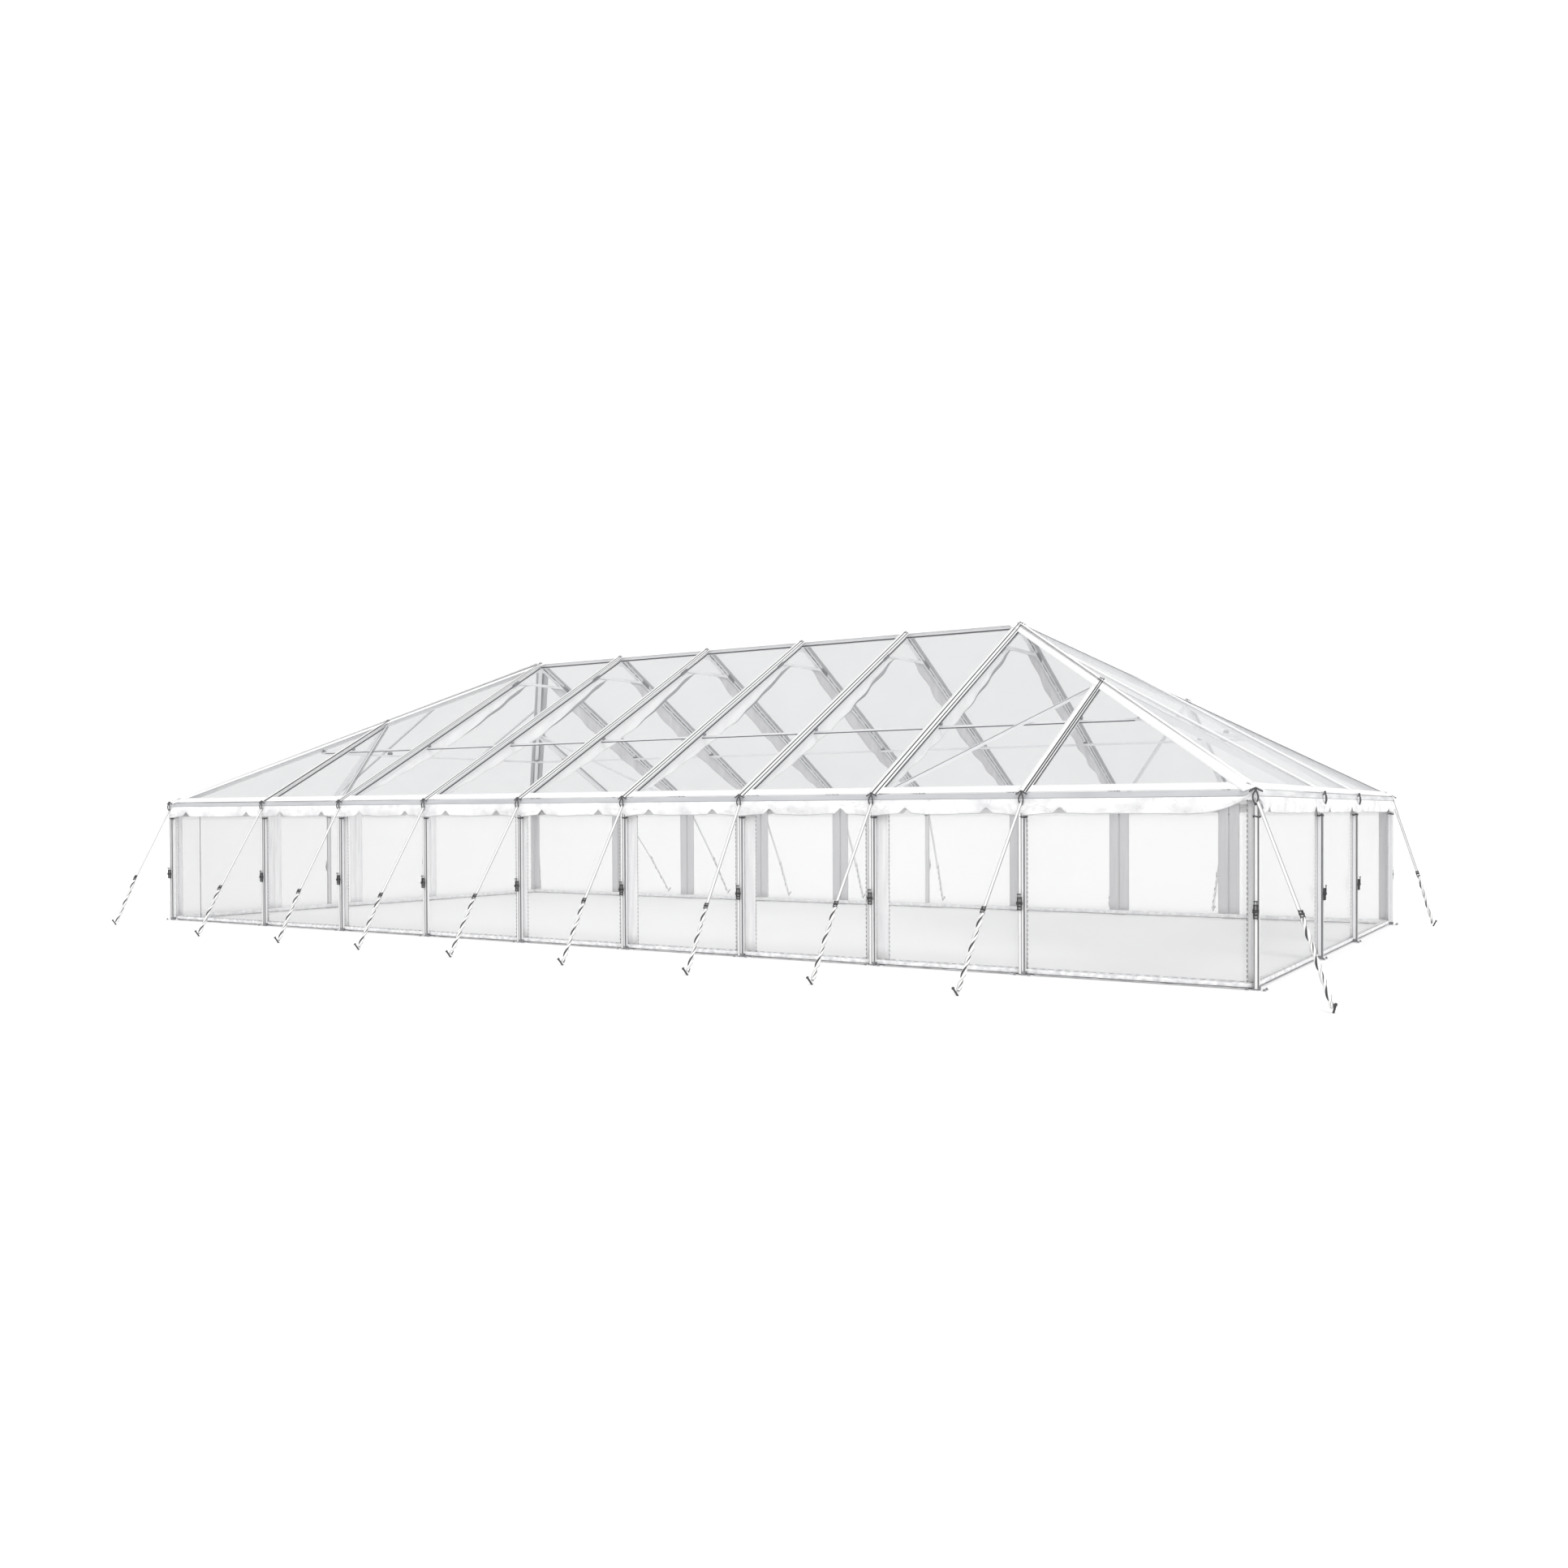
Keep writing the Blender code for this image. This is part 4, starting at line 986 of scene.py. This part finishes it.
# Hem sleeves: the foot of every wall is turned round a pole. The cloth is white and wrinkled, and it
# lies just above the ground between the base plates.
HEM_Z, HEM_RADIUS = 0.0673, 0.052
HEM_STEP, HEM_SIDES = 0.055, 14
HEM_IN, HEM_PAST, HEM_SHORT = 0.046, 0.05, 0.06
HEM_PINCH, HEM_WRINKLE = 0.7, 0.007
HEM_STITCH = {"Long": 0.075, "Gap": 0.13, "Wide": 0.008, "Thick": 0.004}
# Painted shade: the sleeve is near-black below 3.5 cm, for the shade under it, and its tone follows the
# wrinkle noise, darker in the hollows.
hem = Finish("hem_cloth")
crumple = hem.grain(11.0, detail=6.0, rough=0.6)
wrinkle_shaded = hem.blend(crumple * 2.2 - 0.6, (0.58, 0.58, 0.60), (1.0, 1.0, 1.0))
hem_cloth = hem.surface(
    Base_Color=hem.blend(hem.axis("Z") < 0.035, wrinkle_shaded, (0.22, 0.22, 0.23)),
    Roughness=0.55, Normal=hem.bump(crumple, 0.6, 0.012))


def sleeve(bm, start, end, seed):
    """Add a wrinkled round sleeve between two points at the foot of a wall."""
    start, end = Vector(start), Vector(end)
    run = (end - start).normalized()
    side = run.cross(UP)
    count = round((end - start).length / HEM_STEP)
    rings = []
    for i in range(count + 1):
        middle = start.lerp(end, i / count)
        ring = []
        for k in range(HEM_SIDES):
            angle = 2 * math.pi * k / HEM_SIDES
            way = side * math.cos(angle) + UP * math.sin(angle)
            wrinkle = noise.noise(Vector((i * 0.55, math.cos(angle) * 1.5 + seed, math.sin(angle) * 1.5)))
            pinch = HEM_PINCH if i in (0, count) else 1.0
            ring.append(bm.verts.new(middle + way * (HEM_RADIUS * pinch + HEM_WRINKLE * wrinkle)))
        rings.append(ring)
    for first, second in zip(rings, rings[1:]):
        for k in range(HEM_SIDES):
            bm.faces.new((first[k], first[k - 1], second[k - 1], second[k]))
    bm.faces.new(rings[0])
    bm.faces.new(rings[-1][::-1])


inner_x, inner_y = LENGTH / 2 - WALL_IN - HEM_IN, WIDTH / 2 - WALL_IN - HEM_IN
hems = bmesh.new()
for sign in (-1, 1):
    x, y = inner_x + HEM_PAST, inner_y - HEM_SHORT
    sleeve(hems, (-x, sign * inner_y, HEM_Z), (x, sign * inner_y, HEM_Z), sign * 5.0)
    sleeve(hems, (sign * inner_x, -y, HEM_Z), (sign * inner_x, y, HEM_Z), sign * 9.0)
bmesh.ops.recalc_face_normals(hems, faces=hems.faces)
hem_mesh = meshed("hems", hems, hem_cloth)
for face in hem_mesh.polygons:
    face.use_smooth = True
hem_sleeves = placed("hem_sleeves", hem_mesh, "white_cloth")

seam_out, seam_z = HEM_RADIUS * 0.66, HEM_Z + HEM_RADIUS * 0.80
hem_seams = []
for sign in (-1, 1):
    y = sign * (inner_y + seam_out)
    hem_seams.append(([Vector((end * inner_x, y, seam_z)) for end in (-1, 1)], (0, sign, 1)))
    x = sign * (inner_x + seam_out)
    hem_seams.append(([Vector((x, end * inner_y, seam_z)) for end in (-1, 1)], (sign, 0, 1)))
grown("hem_stitching", stitch, lines(hem_seams), "white_cloth", **HEM_STITCH, Finish=zinc_steel)


# Drapes: white cloth laced under every rafter, deepest half way down and shallower towards the collar
# tie and the eave. It hangs in the plane of the arch in soft upright folds.
DRAPE_INNER, DRAPE_OUTER = 0.40, 5.62
DRAPE_HANG = 0.1495
TIE_UNDER, PURLIN_UNDER, PURLIN_NEAR = 0.034, 0.03, 0.04
LEAST_DROP = 0.004
DRAPE_CLOTH = 0.0025
DRAPE_COLUMNS, DRAPE_ROWS = 64, 8
DRAPE_DEPTHS = ((0.40, 0.30), (0.80, 0.36), (1.5, 0.42), (2.4, 0.46), (3.1, 0.45), (4.2, 0.38), (4.9, 0.31),
                (5.62, 0.20))
REAR_DEEPER = 0.055
DRAPE_EDGE, DRAPE_WAVE, DRAPE_FOLD = 0.018, 0.016, 0.020
# Painted light and shade: the front drapes are lit white, the lower strip near the tie is dark grey as the
# shade of the cloth folded under, the tone follows upright fold noise as painted shade of the folds, and the
# back row takes a darker copy as painted shade.
drape_finish = Finish("drape_cloth")
under_fold_shade = drape_finish.chart("Y") - drape_finish.chart("X") * 0.22 > 0.40
fold_shade_tone = drape_finish.grain(2.0, (1.0, 3.0, 1.0), detail=5.0)
front_tone = drape_finish.blend(fold_shade_tone, (0.82, 0.82, 0.825), (0.95, 0.95, 0.95))
front_tone = drape_finish.blend(under_fold_shade, front_tone, (0.36, 0.36, 0.375))
rear_shade_tone = drape_finish.blend(fold_shade_tone, (0.50, 0.495, 0.51), (0.76, 0.755, 0.765))
drape_cloth = drape_finish.surface(
    Base_Color=drape_finish.blend(drape_finish.axis("Y") > 0.0, front_tone, rear_shade_tone),
    Roughness=0.7, Normal=drape_finish.bump(drape_finish.grain(20.0, detail=5.0), 0.25, 0.004))


def drape_depth(u):
    """How far below the roof's face a drape's lower edge hangs, u metres from the centre line."""
    for (a, deep), (b, less) in zip(DRAPE_DEPTHS, DRAPE_DEPTHS[1:]):
        if u <= b:
            return deep + (less - deep) * (u - a) / (b - a)
    return DRAPE_DEPTHS[-1][1]


drapes = {}
for side, sign in (("front", -1), ("back", 1)):
    for number, x in enumerate(ARCHES, 1):

        def drape_place(u, v):
            top = min(EAVE + (WIDTH / 2 - u) * SIDE_PITCH - DRAPE_HANG, TIE_Z - TIE_UNDER)
            if abs(u - PURLIN_Y) < PURLIN_NEAR:
                top = min(top, PURLIN_Z - PURLIN_UNDER)
            depth = drape_depth(u) + DRAPE_EDGE * noise.noise(Vector((u * 2.6, number * 5.0, sign)))
            depth += REAR_DEEPER * (sign > 0)
            low = min(EAVE + (WIDTH / 2 - u) * SIDE_PITCH - depth, top - LEAST_DROP)
            wave = DRAPE_WAVE * math.sin(u * 9.0 + number) * v
            wave += DRAPE_FOLD * noise.noise(Vector((u * 2.4, v * 2, number)))
            return (x + wave * ease(v * 3.0), sign * u, top + (low - top) * v)

        columns = even(DRAPE_INNER, DRAPE_OUTER, DRAPE_COLUMNS)[::-sign]
        drapes[side, number] = cloth(f"{side}_rafter_drape_{number}", columns, even(0.0, 1.0, DRAPE_ROWS),
                                     drape_place, drape_cloth, DRAPE_CLOTH, "white_cloth",
                                     f"{side}_drape_{number}")


# Tie ropes: each post has a loop of dark cord round the eave that holds the top of the guy, with its
# tails drawn down across the skirt. A ring of the same dark cord round each post just under the skirt
# is painted shade: it stands in for the shadow at the post's top.
ROPE, ROPE_OUT = 0.011, 0.062
LOOP_TOP, LOOP_DROP = 2.752, 0.235
LOOP_BOW, LOOP_APART, LOOP_OUT = 0.045, 0.020, 0.028
KNOT_Z = 2.70
SHADE_RING_Z, WRAP = 2.362, 0.046
rope = Growth("rope_along_lines", Radius="Float")
curve = rope.node("GeometryNodeMeshToCurve", {}, {"Mesh": rope.given["Host"]})
circle = rope.node("GeometryNodeCurvePrimitiveCircle", {}, {"Resolution": 7, "Radius": rope.given["Radius"]})
rope.end(rope.node("GeometryNodeCurveToMesh", {}, {"Curve": curve, "Profile Curve": circle,
                                                   "Fill Caps": True}))
ties = []
for x, y, out, side in POSTS:
    base = Vector((x, y, 0)) + out * ROPE_OUT
    for lean in (-1, 1):
        loop = []
        for t in even(0.0, 1.0, 12):
            bow = math.sin(t * math.pi)
            loop.append(base + side * (bow * LOOP_BOW * lean - LOOP_APART * lean * (1 - t))
                        + out * (LOOP_OUT * bow) + UP * (LOOP_TOP - LOOP_DROP * t))
        ties.append((loop, out))
    ties.append(([base + side * a + out * 0.006 * b + UP * (KNOT_Z + 0.02 * b) for a, b in
                  ((-0.09, 0), (-0.05, 1), (0.0, 2.6), (0.05, 1), (0.09, 0))], out))
    # Painted shade: a dark ring of cord round the post in place of the shadow under the skirt.
    ring = [(k, k * math.pi / 6) for k in range(13)]
    ties.append(([Vector((x, y, SHADE_RING_Z)) + side * (math.cos(angle) * WRAP) + out * (math.sin(angle) * WRAP)
                  + UP * (0.008 * math.sin(k)) for k, angle in ring], UP))
tie_cord = Finish("tie_cord")
strand = tie_cord.twill(45.0)
tie_rope = tie_cord.surface(
    Base_Color=tie_cord.blend(strand, (0.03, 0.03, 0.035), (0.13, 0.13, 0.14)),
    Roughness=0.7, Normal=tie_cord.bump(strand, 0.5, 0.002))
grown("tie_ropes", rope, lines(ties), "webbing", Radius=ROPE, Finish=tie_rope)


# Leg straps: a white webbing strap runs down beside each leg from the eave to its base plate and is
# pulled tight by a small ratchet at waist height.
STRAP_WIDE, STRAP_THICK = 0.048, 0.003
STRAP_TOP, STRAP_FOOT = 2.60, 0.03
STRAP_OUT, ON_STRAP = 0.010, 0.002
END_SHIFT, SIDE_SHIFT = -0.022, 0.036
RATCHET_Z = 1.08

webbing = Finish("webbing")
face_share = webbing.maths("FRACT", webbing.chart("X") * 2.0)
rim = webbing.maths("MAXIMUM", face_share < 0.11, face_share > 0.82)
woven = webbing.blend(webbing.grain(6.0, detail=5.0), (0.80, 0.80, 0.80), (0.95, 0.95, 0.94))
white_webbing = webbing.surface(
    Base_Color=webbing.blend(rim, woven, (0.35, 0.35, 0.36)),
    Roughness=0.75, Normal=webbing.bump(webbing.twill(120.0, 0.6), 0.4, 0.002))

buckle = bmesh.new()
for a in (-0.030, 0.030):
    block(buckle, (-0.105, a - 0.004, 0.0), (0.095, a + 0.004, 0.032), 0.003)
    drum(buckle, (0.0, a * 1.25 - 0.004, 0.020), (0.0, a * 1.25 + 0.004, 0.020), 0.026, sides=12)
    block(buckle, (0.010, a * 0.6 - 0.004, 0.034), (0.135, a * 0.6 + 0.004, 0.042), 0.002)
for a, radius in ((-0.095, 0.008), (-0.050, 0.010), (0.0, 0.019), (0.080, 0.008)):
    drum(buckle, (a, -0.036, 0.018), (a, 0.036, 0.018), radius, sides=8)
drum(buckle, (0.135, -0.030, 0.040), (0.135, 0.030, 0.040), 0.009, sides=10)

black = Finish("ratchet_steel")
worn = black.grain(35.0, detail=6.0, rough=0.7)
ratchet_steel = black.surface(
    Base_Color=black.blend(worn, (0.008, 0.008, 0.009), (0.10, 0.10, 0.105)),
    Metallic=0.2, Roughness=0.35 + worn * 0.3)

leg_straps, leg_buckles = [], []
for x, y, out, side in POSTS:
    corner_leg = x == LENGTH / 2 and not out.x
    shift = side * (END_SHIFT if out.x else 0.0 if corner_leg else SIDE_SHIFT)
    spot = Vector((x, y, 0)) + shift + out * (LEG_HALF + STRAP_OUT)
    leg_straps.append(([spot + UP * z for z in (STRAP_TOP, STRAP_FOOT)], out))
    leg_buckles.append((spot + UP * RATCHET_Z + out * ON_STRAP, out, UP))
strips("leg_straps", leg_straps, "webbing", white_webbing, STRAP_WIDE, STRAP_THICK)
fitted("leg_ratchets", buckle, leg_buckles, "webbing", ratchet_steel)


# Guys: a flat white webbing strap from every post of the long sides down to a stake, joined half way
# by a ratchet. Below it the doubled strap is twisted so that it doesn't hum in the wind.
GUY_TOP, STAKE_HOLD = 2.62, 0.17
GUY_WIDE, GUY_THICK, TAIL_WIDE, TAIL_THICK = 0.05, 0.005, 0.060, 0.036
GUY_TWIST, TAIL_TAPER = 15.0, 0.5
TAIL_FOOT, TAIL_IN, TAIL_START, TAIL_STEPS = 0.06, 0.01, 0.03, 60
GUY_OUT = LEG_HALF + 0.0046
STAKES = ((0.10, 1.45), (0.95, 2.25), (1.05, 2.35), (0.90, 2.45), (0.75, 2.50),
          (0.70, 2.45), (0.70, 2.50), (0.36, 2.50), (0.09, 2.50), (1.25, 1.60))
FAR_CORNER_STAKE, FAR_CORNER_SHARE = (0.80, 0.10), 0.62
SHARES = [0.65] + [0.69] * 3 + [0.67] * 3 + [0.63] * 2 + [0.61]
STAKE_HIGH, STAKE_HEAD, STAKE_RADIUS = 0.14, 0.02, 0.014
STAKE_LEAN, SIDE_LEAN = 0.5, 0.45

# Painted shade: a near-black band on each face of the twisted tail stands for the shade where the strap
# turns away.
twisted = Finish("tail_webbing")
face_share = twisted.maths("FRACT", twisted.chart("X") * 2.0)
twist_shade_part = twisted.maths("MAXIMUM", face_share < 0.06, face_share > 0.70)
tail_webbing = twisted.surface(
    Base_Color=twisted.blend(twist_shade_part, (0.88, 0.88, 0.87), (0.07, 0.07, 0.075)),
    Roughness=0.8, Normal=twisted.bump(twisted.grain(90.0), 0.4, 0.002))

guy_runs = []
for turn in (1, -1):
    for x, (dx, dy), share in zip(FRAME_X, STAKES, SHARES):
        if turn == 1 or x > FRAME_X[0]:
            start = Vector((x, -WIDTH / 2 - GUY_OUT)) * turn
            stake = Vector((x + dx, -WIDTH / 2 - dy)) * turn
            guy_runs.append((start.to_3d() + UP * GUY_TOP, stake.to_3d() + UP * STAKE_HOLD, share))
far_x, far_y = FAR_CORNER_STAKE
guy_runs.append((Vector((LENGTH / 2 + GUY_OUT, WIDTH / 2, GUY_TOP)),
                 Vector((LENGTH / 2 + far_x, WIDTH / 2 + far_y, STAKE_HOLD)), FAR_CORNER_SHARE))
upper, tails, guy_buckles, stakes = [], [], [], []
for start, stake, share in guy_runs:
    run = (stake - start).normalized()
    out = Vector((run.x, run.y, 0)).normalized()
    along_end = abs(out.y) < 0.2
    face = Vector((0, -1, 0)) if along_end else (out * -run.z + UP * run.to_2d().length).normalized()
    split = start.lerp(stake, share)
    upper.append(([start, split], face))
    foot = Vector((stake.x, stake.y, TAIL_FOOT)) - out * TAIL_IN
    tails.append((steps(split + run * TAIL_START, foot, TAIL_STEPS), face))
    guy_buckles.append((split + face * ON_STRAP, face, -run))
    lean = out * STAKE_LEAN
    if abs(out.x) < 0.55:
        lean.x = math.copysign(SIDE_LEAN, -out.x)
    stakes.append((Vector((stake.x, stake.y, 0)), (UP + lean).normalized(), out))
guy_buckle = bmesh.new()
for a in (-0.026, 0.026):
    block(guy_buckle, (-0.060, a - 0.003, 0.0), (0.060, a + 0.003, 0.028), 0.0015)
for a, radius in ((-0.045, 0.007), (0.0, 0.016), (0.050, 0.007)):
    drum(guy_buckle, (a, -0.034, 0.016), (a, 0.034, 0.016), radius, sides=8)
guy_nodes = [f"{side}_guy_{i}" for side in ("front", "back") for i in range(1, 11)]
strips("guy_straps", upper, "webbing", white_webbing, GUY_WIDE, GUY_THICK, *guy_nodes)
strips("guy_tails", tails, "webbing", tail_webbing, TAIL_WIDE, TAIL_THICK, twist=GUY_TWIST,
       taper=TAIL_TAPER)
fitted("guy_ratchets", guy_buckle, guy_buckles, "webbing", ratchet_steel)

stake_shape = bmesh.new()
neck = STAKE_HIGH - STAKE_HEAD
drum(stake_shape, (0, 0, 0), (0, 0, neck), STAKE_RADIUS)
drum(stake_shape, (0, 0, neck), (0, 0, STAKE_HIGH), STAKE_RADIUS * 1.7, STAKE_RADIUS * 1.2)
fitted("ground_stakes", stake_shape, stakes, "webbing", ratchet_steel)


# Facts of every sheet: the size it was cut to, how it is held, and what it rests on or hangs from.
# They are worked out here but kept nowhere.
SLOPE = math.hypot(1, SIDE_PITCH) * (WIDTH / 2 + EAVE_REACH)
END_SLOPE = math.hypot(1, END_PITCH) * (HIP_RUN + EAVE_REACH)
LONG_EAVE, SHORT_EAVE = LENGTH + 2 * EAVE_REACH, WIDTH + 2 * EAVE_REACH
for side in ("front", "back"):
    (LONG_EAVE + 2 * ARCHES[-1]) / 2 * SLOPE
    side + "_leg_row"
    [margins, hem_sleeves] if side == "front" else []
    side + "_leg_row"
for side in ("left", "right"):
    SHORT_EAVE / 2 * END_SLOPE
    side + "_leg_row"
    side + "_leg_row"
for (side, number), piece in drapes.items():
    0.50 + REAR_DEEPER * (side == "back")
    1.52 if side == "back" else 1.22
